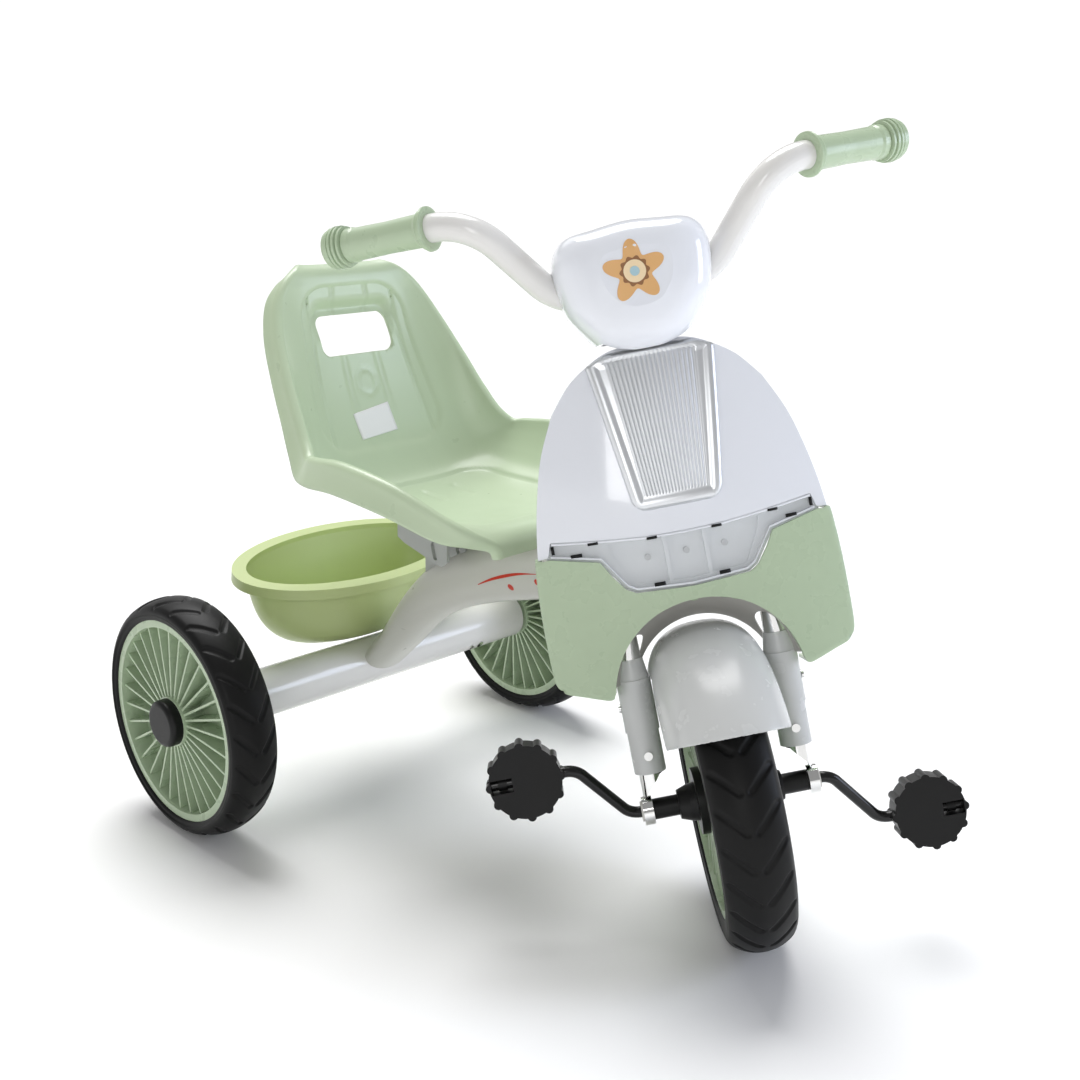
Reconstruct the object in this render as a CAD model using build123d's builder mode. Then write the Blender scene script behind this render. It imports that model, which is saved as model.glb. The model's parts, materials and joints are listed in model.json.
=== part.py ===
from build123d import *
import math
import os

os.makedirs("parts", exist_ok=True)

# Driving dimensions, in millimetres and degrees. The tricycle faces -Y, +X is the rider's left,
# and Z = 0 is the floor. It is parked with its handlebar turned, which is its rest position.
wheelbase = 446.2
rear_axle_y = 234.6
rear_wheel_radius = 110.0
rear_tyre_width = 46.4
rear_track = 423.6
front_wheel_radius = 121.4
front_tyre_width = 54.2
rim_radius = 92.9
head_angle = 16.62
rest_turn = -43.56
fork_half_width = 58.4
crank_length = 50.6
crank_lean = -69.5
pedal_centre = 155.5
axle_radius = 5.0
crank_rod_radius = 4.5
steerer_radius = 11.1
bar_radius = 11.0
beam_wall = 1.6
plastic_wall = 2.5
running_gap = 0.05
clear_gap = 0.3

# Tread arcs: the crown of each tyre is an arc across its width.
front_crown_drop = 11.7
rear_crown_drop = 7.0


def arc_radius(half_width, drop):
    """Radius of the arc that falls by drop over half_width."""
    return (half_width**2 + drop**2) / (2 * drop)


# The steering frame: lateral is the fork's side axis, back points to the saddle, up is the steerer.
lean = math.radians(head_angle)
steer_up = Vector(0, math.sin(lean), math.cos(lean))
steer_side = Vector(1, 0, 0).rotate(Axis((0, 0, 0), tuple(steer_up)), rest_turn)
front_crown = arc_radius(front_tyre_width / 2, front_crown_drop)
wheel_tilt = math.asin(steer_side.Z)
front_hub_z = (front_wheel_radius - front_crown) * math.cos(wheel_tilt) + front_crown
front_hub = Vector(0, rear_axle_y - wheelbase, front_hub_z)
steer = Plane(origin=front_hub, x_dir=steer_side, z_dir=steer_up)


def place(lateral, back, up):
    """Point of the steering frame in the tricycle's frame."""
    return steer.from_local_coords(Vector(lateral, back, up))


def level(up):
    """Plane across the steering axis: x is lateral, y is back."""
    return steer.offset(up)


def facing(back):
    """Plane that looks forward from the fork: x is lateral, y is up."""
    return Plane(origin=place(0, back, 0), x_dir=steer_side, z_dir=-steer.y_dir)


def beside(lateral):
    """Plane on the fork's side: x is back, y is up."""
    return Plane(origin=place(lateral, 0, 0), x_dir=steer.y_dir, z_dir=steer_side)


def around_axle(angle):
    """Plane through the front axle whose y rises by angle above straight ahead."""
    slope = math.radians(angle)
    radial = steer_up * math.sin(slope) - steer.y_dir * math.cos(slope)
    return Plane(origin=front_hub, x_dir=steer_side, z_dir=steer_side.cross(radial))


def side_plane(x):
    """Plane on the frame's side: x is Y measured from the rear axle, y is Z."""
    return Plane(origin=(x, rear_axle_y, 0), x_dir=(0, 1, 0), z_dir=(1, 0, 0))


sides = ((1, "left"), (-1, "right"))

# ---------------------------------------------------------------- rear axle and its tube
tube_radius = 23.0
tube_wall = 2.0
tube_half = 186.0

with BuildPart() as rear_axle_tube:
    with BuildSketch(side_plane(-tube_half)):
        with Locations((0, rear_wheel_radius)):
            Circle(tube_radius)
            Circle(tube_radius - tube_wall, mode=Mode.SUBTRACT)
    extrude(amount=2 * tube_half)
rear_axle_tube.part.label = "rear_axle_tube"
export_step(rear_axle_tube.part, "parts/rear_axle_tube.step")

plug_length = 18.0
with BuildPart() as axle_tube_plugs:
    with BuildSketch(side_plane(tube_half - plug_length)):
        with Locations((0, rear_wheel_radius)):
            Circle(tube_radius - tube_wall)
            Circle(axle_radius + running_gap, mode=Mode.SUBTRACT)
    extrude(amount=plug_length)
    mirror(about=Plane.YZ)
axle_tube_plugs.part.label = "axle_tube_plugs"
export_step(axle_tube_plugs.part, "parts/axle_tube_plugs.step")

# Stations along the outward direction of a rear wheel, from the wheel's centre plane.
hub_half = 21.0
bush_inner_end = -19.0
bush_length = 12.0
washer_start = 8.6
washer_thickness = 1.4
nut_thickness = 6.0
axle_end = 18.0
hub_bore = 9.0

with BuildPart() as rear_axle:
    with BuildSketch(side_plane(-(rear_track / 2 + axle_end))):
        with Locations((0, rear_wheel_radius)):
            Circle(axle_radius)
    extrude(amount=rear_track + 2 * axle_end)
    chamfer(rear_axle.edges().filter_by(GeomType.CIRCLE), 0.8)
rear_axle.part.label = "rear_axle"
export_step(rear_axle.part, "parts/rear_axle.step")

with BuildPart() as axle_washers:
    with BuildSketch(side_plane(rear_track / 2 + washer_start)):
        with Locations((0, rear_wheel_radius)):
            Circle(hub_bore - 0.5)
            Circle(axle_radius + running_gap, mode=Mode.SUBTRACT)
    extrude(amount=washer_thickness)
    mirror(about=Plane.YZ)
axle_washers.part.label = "axle_washers"
export_step(axle_washers.part, "parts/axle_washers.step")

with BuildPart() as axle_nuts:
    with BuildSketch(side_plane(rear_track / 2 + washer_start + washer_thickness)):
        with Locations((0, rear_wheel_radius)):
            RegularPolygon(radius=8.2, side_count=6)
            Circle(axle_radius + running_gap, mode=Mode.SUBTRACT)
    extrude(amount=nut_thickness)
    mirror(about=Plane.YZ)
axle_nuts.part.label = "axle_nuts"
export_step(axle_nuts.part, "parts/axle_nuts.step")


# ---------------------------------------------------------------- wheels
def tyre_outline(width, radius, drop):
    """Cross-section of a tyre: a crowned tread over straight walls, x across and y from the axle."""
    half = width / 2
    with BuildLine() as outline:
        ThreePointArc((-half, radius - drop), (0, radius), (half, radius - drop))
        Polyline(
            (half, radius - drop), (half - 1.5, rim_radius), (1.5 - half, rim_radius),
            (-half, radius - drop),
        )
    return outline.line


def rim_outline(half_width):
    """Cross-section of a moulded rim: a hoop, a thin web and a hub barrel, x across and y out."""
    hoop_depth = 6.5
    web_half = 1.6
    barrel_radius = 24.0
    with BuildLine() as outline:
        Polyline(
            (-half_width, rim_radius), (half_width, rim_radius), (half_width, rim_radius - hoop_depth),
            (web_half, rim_radius - hoop_depth - 2), (web_half, barrel_radius),
            (hub_half, barrel_radius - 1), (hub_half, hub_bore), (-hub_half, hub_bore),
            (-hub_half, barrel_radius - 1), (-web_half, barrel_radius),
            (-web_half, rim_radius - hoop_depth - 2), (-half_width, rim_radius - hoop_depth),
            (-half_width, rim_radius),
        )
    return outline.line


rib_count = 30
rib_thickness = 2.0
rib_angles = [index * 360 / rib_count for index in range(rib_count)]


def rib_outline(half_width):
    """Fan rib in a plane through the axle: deep at the hub, shallower at the hoop."""
    return [(0, 22.5), (hub_half - 2, 22.5), (half_width - 3, rim_radius - 6), (0, rim_radius - 6)]


for side, name in sides:
    hub = Plane(
        origin=(side * rear_track / 2, rear_axle_y, rear_wheel_radius),
        x_dir=(side, 0, 0), z_dir=(0, -side, 0),
    )
    axle = Axis(hub.origin, hub.x_dir)
    wheel_face = Plane(origin=hub.origin, x_dir=(0, 1, 0), z_dir=(side, 0, 0))

    with BuildPart() as rear_tyre:
        with BuildSketch(hub):
            make_face(tyre_outline(rear_tyre_width, rear_wheel_radius, rear_crown_drop))
        revolve(axis=axle)
    rear_tyre.part.label = f"rear_tyre_{name}"
    export_step(rear_tyre.part, f"parts/rear_tyre_{name}.step")

    with BuildPart() as rear_rim:
        with BuildSketch(hub):
            make_face(rim_outline(rear_tyre_width / 2 - 3))
        revolve(axis=axle)
        for angle in rib_angles:
            turned = hub.rotated((angle, 0, 0))
            with BuildSketch(turned):
                Polygon(*rib_outline(rear_tyre_width / 2 - 3), align=None)
                Polygon(*[(-x, y) for x, y in rib_outline(rear_tyre_width / 2 - 3)], align=None)
            extrude(amount=rib_thickness / 2, both=True)
        with BuildSketch(wheel_face.offset(washer_start - 0.3)):
            Circle(hub_half - 5)
        extrude(amount=hub_half, mode=Mode.SUBTRACT)
    rear_rim.part.label = f"rear_rim_{name}"
    export_step(rear_rim.part, f"parts/rear_rim_{name}.step")

    with BuildPart() as rear_bushes:
        for start in (bush_inner_end, washer_start - bush_length - 0.4):
            with BuildSketch(wheel_face.offset(start)):
                Circle(hub_bore)
                Circle(axle_radius + running_gap, mode=Mode.SUBTRACT)
            extrude(amount=bush_length)
    rear_bushes.part.label = f"rear_bushes_{name}"
    export_step(rear_bushes.part, f"parts/rear_bushes_{name}.step")

    cap_radius = 21.5
    cap_depth = 11.0
    with BuildPart() as hub_cap:
        with BuildSketch(wheel_face.offset(hub_half)):
            Circle(cap_radius)
        extrude(amount=cap_depth)
        fillet(hub_cap.edges().sort_by(Axis(hub.origin, hub.x_dir))[-1], 5)
        with BuildSketch(wheel_face.offset(hub_half)):
            Circle(cap_radius - plastic_wall)
        extrude(amount=cap_depth - plastic_wall - 1, mode=Mode.SUBTRACT)
    hub_cap.part.label = f"hub_cap_{name}"
    export_step(hub_cap.part, f"parts/hub_cap_{name}.step")

front_wheel_plane = facing(0)
front_axle = Axis(front_hub, steer_side)
front_rim_half = front_tyre_width / 2 - 3

with BuildPart() as front_tyre:
    with BuildSketch(front_wheel_plane):
        make_face(tyre_outline(front_tyre_width, front_wheel_radius, front_crown_drop))
    revolve(axis=front_axle)
front_tyre.part.label = "front_tyre"
export_step(front_tyre.part, "parts/front_tyre.step")

with BuildPart() as front_rim:
    with BuildSketch(front_wheel_plane):
        make_face(rim_outline(front_rim_half))
    revolve(axis=front_axle)
    for angle in rib_angles:
        with BuildSketch(around_axle(angle)):
            Polygon(*rib_outline(front_rim_half), align=None)
            Polygon(*[(-x, y) for x, y in rib_outline(front_rim_half)], align=None)
        extrude(amount=rib_thickness / 2, both=True)
front_rim.part.label = "front_rim"
export_step(front_rim.part, "parts/front_rim.step")

# The drivers clamp the rim from both sides and carry the crank rod through the hub.
driver_radius = 26.5
driver_end = 27.5
cone_end = 41.5
spacer_end = 61.5
with BuildPart() as axle_drivers:
    with BuildSketch(front_wheel_plane):
        with BuildLine():
            Polyline(
                (0.2, crank_rod_radius), (0.2, hub_bore), (hub_half, hub_bore), (hub_half, driver_radius),
                (driver_end, driver_radius), (driver_end, 15.5), (33, 14.5), (cone_end, 11.5),
                (cone_end, 8.2), (spacer_end, 8.2), (spacer_end, crank_rod_radius), (0.2, crank_rod_radius),
            )
        make_face()
    revolve(axis=front_axle)
    mirror(about=beside(0))
axle_drivers.part.label = "axle_drivers"
export_step(axle_drivers.part, "parts/axle_drivers.step")

# One bent rod is the front axle and both cranks.
crank_plane = Plane(
    origin=front_hub,
    x_dir=steer_side,
    z_dir=steer_side.cross(
        steer.y_dir * math.cos(math.radians(crank_lean)) + steer_up * math.sin(math.radians(crank_lean))
    ),
)
crank_straight = 80.0
crank_elbow = 116.0
rod_end = 183.0
with BuildPart() as crank_axle:
    with BuildLine(crank_plane):
        FilletPolyline(
            (-rod_end, -crank_length), (-crank_elbow, -crank_length), (-crank_straight, 0),
            (crank_straight, 0), (crank_elbow, crank_length), (rod_end, crank_length), radius=16,
        )
    crank_start = crank_plane.from_local_coords(Vector(-rod_end, -crank_length, 0))
    with BuildSketch(Plane(crank_start, z_dir=steer_side)):
        Circle(crank_rod_radius)
    sweep()
crank_axle.part.label = "crank_axle"
export_step(crank_axle.part, "parts/crank_axle.step")

# ---------------------------------------------------------------- pedals
pedal_radius = 31.0
pedal_thickness = 20.0
pedal_lobes = 12
pedal_bore = crank_rod_radius + running_gap
pedal_window = (17.0, 11.0)
retainer_start = 170.0
retainer_length = 8.0

for side, name in sides:
    centre = crank_plane.from_local_coords(Vector(side * pedal_centre, side * crank_length, 0))
    pedal_plane = Plane(origin=centre, x_dir=steer_side, z_dir=-steer.y_dir)
    with BuildPart() as pedal:
        with BuildSketch(pedal_plane.offset(-pedal_thickness / 2)):
            Circle(pedal_radius - 2.5)
            with PolarLocations(pedal_radius - 3.5, pedal_lobes):
                Circle(3.5)
        extrude(amount=pedal_thickness)
        with BuildSketch(pedal_plane.offset(-pedal_thickness / 2)):
            with Locations((side * (retainer_start - pedal_centre + retainer_length / 2), 0)):
                Rectangle(*pedal_window)
        extrude(amount=pedal_thickness, mode=Mode.SUBTRACT)
        with BuildSketch(Plane(origin=centre, z_dir=steer_side).offset(-1.5 * pedal_radius)):
            Circle(pedal_bore)
        extrude(amount=3 * pedal_radius, mode=Mode.SUBTRACT)
    pedal.part.label = f"pedal_{name}"
    export_step(pedal.part, f"parts/pedal_{name}.step")

with BuildPart() as pedal_retainers:
    for side in (1, -1):
        start = crank_plane.from_local_coords(Vector(side * retainer_start, side * crank_length, 0))
        with BuildSketch(Plane(origin=start, z_dir=steer_side * side)):
            Circle(crank_rod_radius + 0.8)
            Circle(crank_rod_radius, mode=Mode.SUBTRACT)
        extrude(amount=retainer_length - 1)
pedal_retainers.part.label = "pedal_retainers"
export_step(pedal_retainers.part, "parts/pedal_retainers.step")

# ---------------------------------------------------------------- fork
leg_radius = 9.5
leg_wall = 1.6
leg_top = 166.0
scoop_up = 31.0
eye_radius = 11.5
eye_bore = 8.0
eye_start = 62.0
eye_width = 8.0
sleeve_radius = 12.6
sleeve_bottom = 31.0
sleeve_joint = 64.3
upper_sleeve_radius = 13.6
upper_sleeve_top = 106.0
sleeve_bore = leg_radius + 0.2

for side, name in sides:
    with BuildPart() as fork_leg:
        with BuildSketch(level(0)):
            with Locations((side * fork_half_width, 0)):
                Circle(leg_radius)
                Circle(leg_radius - leg_wall, mode=Mode.SUBTRACT)
        extrude(amount=leg_top)
        with BuildSketch(facing(-2 * leg_radius)):
            with BuildLine():
                Line((side * 40, -1), (side * 40, scoop_up))
                Line((side * 40, scoop_up), (side * 52, scoop_up - 2))
                Spline(
                    (side * 52, scoop_up - 2), (side * 58, scoop_up - 9), (side * 63, scoop_up - 15),
                    (side * 64, -1),
                )
                Line((side * 64, -1), (side * 40, -1))
            make_face()
        extrude(amount=-4 * leg_radius, mode=Mode.SUBTRACT)
        with BuildSketch(beside(side * eye_start)):
            Circle(eye_radius)
        extrude(amount=side * eye_width)
        with BuildSketch(beside(side * (eye_start - 1))):
            Circle(eye_bore)
        extrude(amount=side * (eye_width + 2), mode=Mode.SUBTRACT)
    fork_leg.part.label = f"fork_leg_{name}"
    export_step(fork_leg.part, f"parts/fork_leg_{name}.step")

with BuildPart() as fork_bushes:
    with BuildSketch(beside(eye_start)):
        Circle(eye_bore)
        Circle(crank_rod_radius + running_gap, mode=Mode.SUBTRACT)
    extrude(amount=eye_width + 1.5)
    mirror(about=beside(0))
fork_bushes.part.label = "fork_bushes"
export_step(fork_bushes.part, "parts/fork_bushes.step")

with BuildPart() as fork_sleeves_lower:
    with BuildSketch(level(sleeve_bottom)):
        with Locations((fork_half_width, 0)):
            Circle(sleeve_radius)
            Circle(sleeve_bore, mode=Mode.SUBTRACT)
    extrude(amount=sleeve_joint - sleeve_bottom)
    mirror(about=beside(0))
fork_sleeves_lower.part.label = "fork_sleeves_lower"
export_step(fork_sleeves_lower.part, "parts/fork_sleeves_lower.step")

shoulder_height = 16.0
with BuildPart() as fork_sleeves_upper:
    with BuildSketch(level(sleeve_joint)):
        with Locations((fork_half_width, 0)):
            Circle(upper_sleeve_radius)
    extrude(amount=upper_sleeve_top - sleeve_joint)
    with BuildSketch(level(upper_sleeve_top)):
        with Locations((fork_half_width, 0)):
            Circle(upper_sleeve_radius - 1)
    extrude(amount=shoulder_height, taper=8)
    with BuildSketch(level(sleeve_joint)):
        with Locations((fork_half_width, 0)):
            Circle(sleeve_bore)
    extrude(amount=upper_sleeve_top, mode=Mode.SUBTRACT)
    mirror(about=beside(0))
fork_sleeves_upper.part.label = "fork_sleeves_upper"
export_step(fork_sleeves_upper.part, "parts/fork_sleeves_upper.step")

# Pan-head screws: one in front of each lower sleeve, one outside each upper sleeve.
screw_head_radius = 3.4
screw_head_height = 1.8
front_screw_up = 45.7
side_screw_up = 84.0
with BuildPart() as fork_screws:
    with BuildSketch(facing(-sleeve_radius)):
        with Locations((fork_half_width, front_screw_up)):
            Circle(screw_head_radius)
    extrude(amount=screw_head_height)
    with BuildSketch(beside(fork_half_width + upper_sleeve_radius)):
        with Locations((0, side_screw_up)):
            Circle(screw_head_radius)
    extrude(amount=screw_head_height)
    mirror(about=beside(0))
fork_screws.part.label = "fork_screws"
export_step(fork_screws.part, "parts/fork_screws.step")

crown_thickness = 5.0
with BuildPart() as fork_crown:
    with BuildSketch(level(leg_top)):
        SlotCenterToCenter(2 * fork_half_width, 2 * leg_radius + 5)
        Circle(19)
        with Locations((0, -17.2)):
            Rectangle(24, 10)
    extrude(amount=crown_thickness)
fork_crown.part.label = "fork_crown"
export_step(fork_crown.part, "parts/fork_crown.step")

# ---------------------------------------------------------------- head tube, bushes and steerer
head_radius = 17.5
head_wall = 2.2
head_bottom = 229.0
head_top = head_bottom + 64.0
stem_top = 386.0

with BuildPart() as steerer:
    with BuildSketch(level(leg_top + crown_thickness)):
        Circle(steerer_radius)
        Circle(steerer_radius - 2, mode=Mode.SUBTRACT)
    extrude(amount=stem_top - leg_top - crown_thickness)
steerer.part.label = "steerer"
export_step(steerer.part, "parts/steerer.step")

with BuildPart() as head_tube:
    with BuildSketch(level(head_bottom)):
        Circle(head_radius)
        Circle(head_radius - head_wall, mode=Mode.SUBTRACT)
    extrude(amount=head_top - head_bottom)
head_tube.part.label = "head_tube"
export_step(head_tube.part, "parts/head_tube.step")

bush_flange = 3.0
bush_depth = 16.0
for name, flange_start, sleeve_start in (
    ("lower", head_bottom - bush_flange, head_bottom),
    ("upper", head_top, head_top - bush_depth),
):
    with BuildPart() as head_bush:
        with BuildSketch(level(flange_start)):
            Circle(head_radius)
        extrude(amount=bush_flange)
        with BuildSketch(level(sleeve_start)):
            Circle(head_radius - head_wall)
        extrude(amount=bush_depth)
        with BuildSketch(level(head_bottom - 2 * bush_flange)):
            Circle(steerer_radius + running_gap)
        extrude(amount=head_top - head_bottom + 4 * bush_flange, mode=Mode.SUBTRACT)
    head_bush.part.label = f"head_bush_{name}"
    export_step(head_bush.part, f"parts/head_bush_{name}.step")

# ---------------------------------------------------------------- main beam
# Stations of the beam: Y from the rear axle, Z, half width, half height.
beam_stations = [
    (-371.0, 368.0, 20.0, 27.0), (-345.0, 346.0, 22.0, 28.0), (-310.0, 305.0, 25.0, 28.0),
    (-270.0, 273.0, 27.0, 29.0), (-225.0, 259.0, 28.0, 30.5), (-160.0, 237.0, 28.5, 28.5),
    (-108.0, 209.0, 29.0, 24.0), (-73.0, 178.0, 29.0, 19.0), (-46.0, 147.0, 28.5, 15.0),
    (-12.0, 112.0, 28.0, 12.0),
]


def beam_plane(index):
    """Plane square to the beam's run at one station."""
    before = beam_stations[max(index - 1, 0)]
    after = beam_stations[min(index + 1, len(beam_stations) - 1)]
    run = Vector(0, after[0] - before[0], after[1] - before[1])
    station = beam_stations[index]
    return Plane(origin=(0, rear_axle_y + station[0], station[1]), x_dir=(1, 0, 0), z_dir=run)


with BuildPart() as beam_solid:
    for index, station in enumerate(beam_stations):
        with BuildSketch(beam_plane(index)):
            Ellipse(station[2], station[3])
    loft()

with BuildPart() as main_beam:
    add(beam_solid.part)
    for index, station in enumerate(beam_stations):
        with BuildSketch(beam_plane(index)):
            Ellipse(station[2] - beam_wall, station[3] - beam_wall)
    loft(mode=Mode.SUBTRACT)
    with BuildSketch(side_plane(-tube_half)):
        with Locations((0, rear_wheel_radius)):
            Circle(tube_radius)
    extrude(amount=2 * tube_half, mode=Mode.SUBTRACT)
    with BuildSketch(level(head_bottom - 20)):
        Circle(head_radius)
    extrude(amount=head_top - head_bottom + 40, mode=Mode.SUBTRACT)
    for offcut in main_beam.part.solids().sort_by(SortBy.VOLUME)[:-1]:
        add(offcut, mode=Mode.SUBTRACT)
main_beam.part.label = "main_beam"
export_step(main_beam.part, "parts/main_beam.step")

# ---------------------------------------------------------------- seat
seat_wall = 4.5
# Stations of the seat from the rolled front lip to the rolled top of the back. Each gives the
# centre's Y and Z, the direction of its sides from the centre in degrees above +Y, the height of
# the sides over the centre, and their half width.
seat_stations = [
    (-248.0, 284.0, 178.0, 1.0, 62.0), (-247.0, 295.0, 150.0, 2.0, 66.0),
    (-238.0, 302.0, 110.0, 4.0, 84.0), (-222.0, 301.0, 92.0, 18.0, 103.0),
    (-203.0, 298.0, 90.0, 34.0, 117.0), (-180.0, 295.0, 90.0, 49.0, 125.0),
    (-140.0, 293.0, 90.0, 56.0, 128.0), (-98.0, 293.0, 92.0, 55.0, 127.0),
    (-66.0, 297.0, 104.0, 50.0, 124.0), (-42.0, 310.0, 124.0, 46.0, 119.0),
    (-24.0, 332.0, 146.0, 41.0, 113.0), (-7.0, 360.0, 162.0, 35.0, 108.0),
    (8.0, 392.0, 168.0, 29.0, 104.0), (20.0, 430.0, 171.0, 19.0, 96.0),
    (28.0, 463.0, 173.0, 9.0, 81.0), (31.0, 483.0, 172.0, 4.0, 66.0),
    (35.0, 492.0, 140.0, 2.0, 54.0), (43.0, 495.0, 92.0, 1.0, 48.0),
]
pan_skirt = (24.0, 9.0)
back_skirt = (17.0, 4.5)
back_angle = 120.0
skirt_wall = 3.5
grip_hole = (84.0, 36.0, 13.0)
grip_hole_z = 433.0
lip_notch_y = 236.0
plate_top = 287.4
plate_thickness = 3.5
seat_bolt_radius = 3.0
seat_bolt_spots = [(x, y) for x in (-26.0, 26.0) for y in (-148.0, -108.0)]
seat_bolt_reach = 3.0


def seat_plane(station):
    """Plane of one seat section: x across, y from the centre towards the crest of the sides."""
    angle = math.radians(station[2])
    up = Vector(0, math.cos(angle), math.sin(angle))
    return Plane(
        origin=(0, rear_axle_y + station[0], station[1]), x_dir=(1, 0, 0), z_dir=Vector(1, 0, 0).cross(up)
    )


with BuildPart() as seat:
    for station in seat_stations:
        rise = station[3]
        half = station[4]
        depth, flare = back_skirt if station[2] > back_angle else pan_skirt
        foot = rise - min(depth, rise / 2 + 14)
        outer = half + flare
        inner = half + min(skirt_wall, flare - 0.8) + 0.5
        with BuildSketch(seat_plane(station)):
            with BuildLine():
                Spline(
                    (-half, rise), (-0.86 * half, 0.52 * rise), (-0.55 * half, 0.08 * rise), (0, 0),
                    (0.55 * half, 0.08 * rise), (0.86 * half, 0.52 * rise), (half, rise),
                )
                Polyline(
                    (half, rise), (outer, rise - 2), (outer, foot), (outer - skirt_wall, foot),
                    (inner, rise - 6),
                )
                Spline(
                    (inner, rise - 6), (0.88 * half + 3, 0.5 * rise - 6),
                    (0.57 * half + 1, 0.08 * rise - seat_wall), (0, -seat_wall),
                    (-0.57 * half - 1, 0.08 * rise - seat_wall), (-0.88 * half - 3, 0.5 * rise - 6),
                    (-inner, rise - 6),
                )
                Polyline(
                    (-inner, rise - 6), (skirt_wall - outer, foot), (-outer, foot), (-outer, rise - 2),
                    (-half, rise),
                )
            make_face()
    loft()
    with BuildSketch(Plane.XZ.offset(-rear_axle_y - 90)):
        with Locations((0, grip_hole_z)):
            RectangleRounded(*grip_hole)
    extrude(amount=120, mode=Mode.SUBTRACT)
    with BuildSketch(Plane.XZ.offset(lip_notch_y - rear_axle_y)):
        with Locations((0, 266)):
            Ellipse(29.5, 34)
    extrude(amount=30, mode=Mode.SUBTRACT)
    with BuildSketch(Plane.XY.offset(plate_top - 20)):
        with Locations(*[(x, rear_axle_y + y) for x, y in seat_bolt_spots]):
            Circle(seat_bolt_radius + running_gap)
    extrude(amount=20 + seat_bolt_reach, mode=Mode.SUBTRACT)
seat.part.label = "seat"
export_step(seat.part, "parts/seat.step")

# ---------------------------------------------------------------- seat bracket and bolts
plate_half_width = 46.0
plate_rear = -95.0
plate_front = -162.0
flange_outline = [
    (plate_front, plate_top), (plate_rear, plate_top), (plate_rear, 266), (-104, 262), (-154, 250),
    (plate_front, 256),
]
web_half = 15.0
with BuildPart() as seat_bracket:
    with BuildSketch(side_plane(-plate_half_width)):
        Polygon(*flange_outline, align=None)
    extrude(amount=2 * plate_half_width)
    with BuildSketch(side_plane(plate_thickness - plate_half_width)):
        Polygon(
            (plate_front - 1, plate_top - plate_thickness), (plate_rear + 1, plate_top - plate_thickness),
            (plate_rear + 1, 240), (plate_front - 1, 240), align=None,
        )
    extrude(amount=2 * (plate_half_width - plate_thickness), mode=Mode.SUBTRACT)
    for side in (1, -1):
        with BuildSketch(side_plane(side * web_half)):
            Polygon(
                (plate_front + 6, plate_top - plate_thickness),
                (plate_rear - 6, plate_top - plate_thickness),
                (plate_rear - 6, 214), (plate_front + 6, 240), align=None,
            )
        extrude(amount=side * plate_thickness)
    add(beam_solid.part, mode=Mode.SUBTRACT)
    with BuildSketch(side_plane(-plate_half_width - 1)):
        with Locations((-145, 263)):
            SlotOverall(17, 6, rotation=75)
    extrude(amount=2 * plate_half_width + 2, mode=Mode.SUBTRACT)
    with BuildSketch(Plane.XY.offset(plate_top)):
        with Locations(*[(x, rear_axle_y + y) for x, y in seat_bolt_spots]):
            Circle(seat_bolt_radius + running_gap)
    extrude(amount=-10, mode=Mode.SUBTRACT)
    for offcut in seat_bracket.part.solids().sort_by(SortBy.VOLUME)[:-1]:
        add(offcut, mode=Mode.SUBTRACT)
seat_bracket.part.label = "seat_bracket"
export_step(seat_bracket.part, "parts/seat_bracket.step")

bolt_head_height = 4.0
with BuildPart() as seat_bolts:
    with BuildSketch(Plane.XY.offset(plate_top - plate_thickness - bolt_head_height)):
        with Locations(*[(x, rear_axle_y + y) for x, y in seat_bolt_spots]):
            RegularPolygon(radius=5.5, side_count=6)
    extrude(amount=bolt_head_height)
    with BuildSketch(Plane.XY.offset(plate_top - plate_thickness)):
        with Locations(*[(x, rear_axle_y + y) for x, y in seat_bolt_spots]):
            Circle(seat_bolt_radius)
    extrude(amount=plate_thickness + seat_bolt_reach)
seat_bolts.part.label = "seat_bolts"
export_step(seat_bolts.part, "parts/seat_bolts.step")

# A dark hexagon bolt on top of the beam, just ahead of the seat's lip.
with BuildPart() as beam_bolt:
    with BuildSketch(Plane.XY.offset(280)):
        with Locations((0, rear_axle_y - 226)):
            RegularPolygon(radius=6.5, side_count=6)
    extrude(amount=14)
    add(beam_solid.part, mode=Mode.SUBTRACT)
beam_bolt.part.label = "beam_bolt"
export_step(beam_bolt.part, "parts/beam_bolt.step")

# ---------------------------------------------------------------- basket
# Stations of the bowl from the floor up: Y of the centre, Z, tilt, half width, half depth.
basket_floor_z = rear_wheel_radius + tube_radius
basket_stations = [
    (38.0, basket_floor_z, 0.0, 62.0, 30.0), (38.0, basket_floor_z + 7, 1.0, 82.0, 40.0),
    (38.0, 158.0, 3.0, 102.0, 49.0), (38.5, 184.0, 6.0, 113.0, 55.0), (39.0, 206.0, 9.0, 119.0, 59.0),
]
basket_rim = (131.0, 70.0)
basket_rim_height = 10.0
basket_wall = 2.6
basket_screw_places = [(-35, rear_axle_y + 30), (35, rear_axle_y + 30)]
basket_screw_depth = 1.4


def basket_plane(y, z, tilt):
    """Plane across the bowl, its rear edge raised by tilt."""
    slope = math.radians(tilt)
    return Plane(
        origin=(0, rear_axle_y + y, z), x_dir=(1, 0, 0), z_dir=(0, -math.sin(slope), math.cos(slope))
    )


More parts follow.
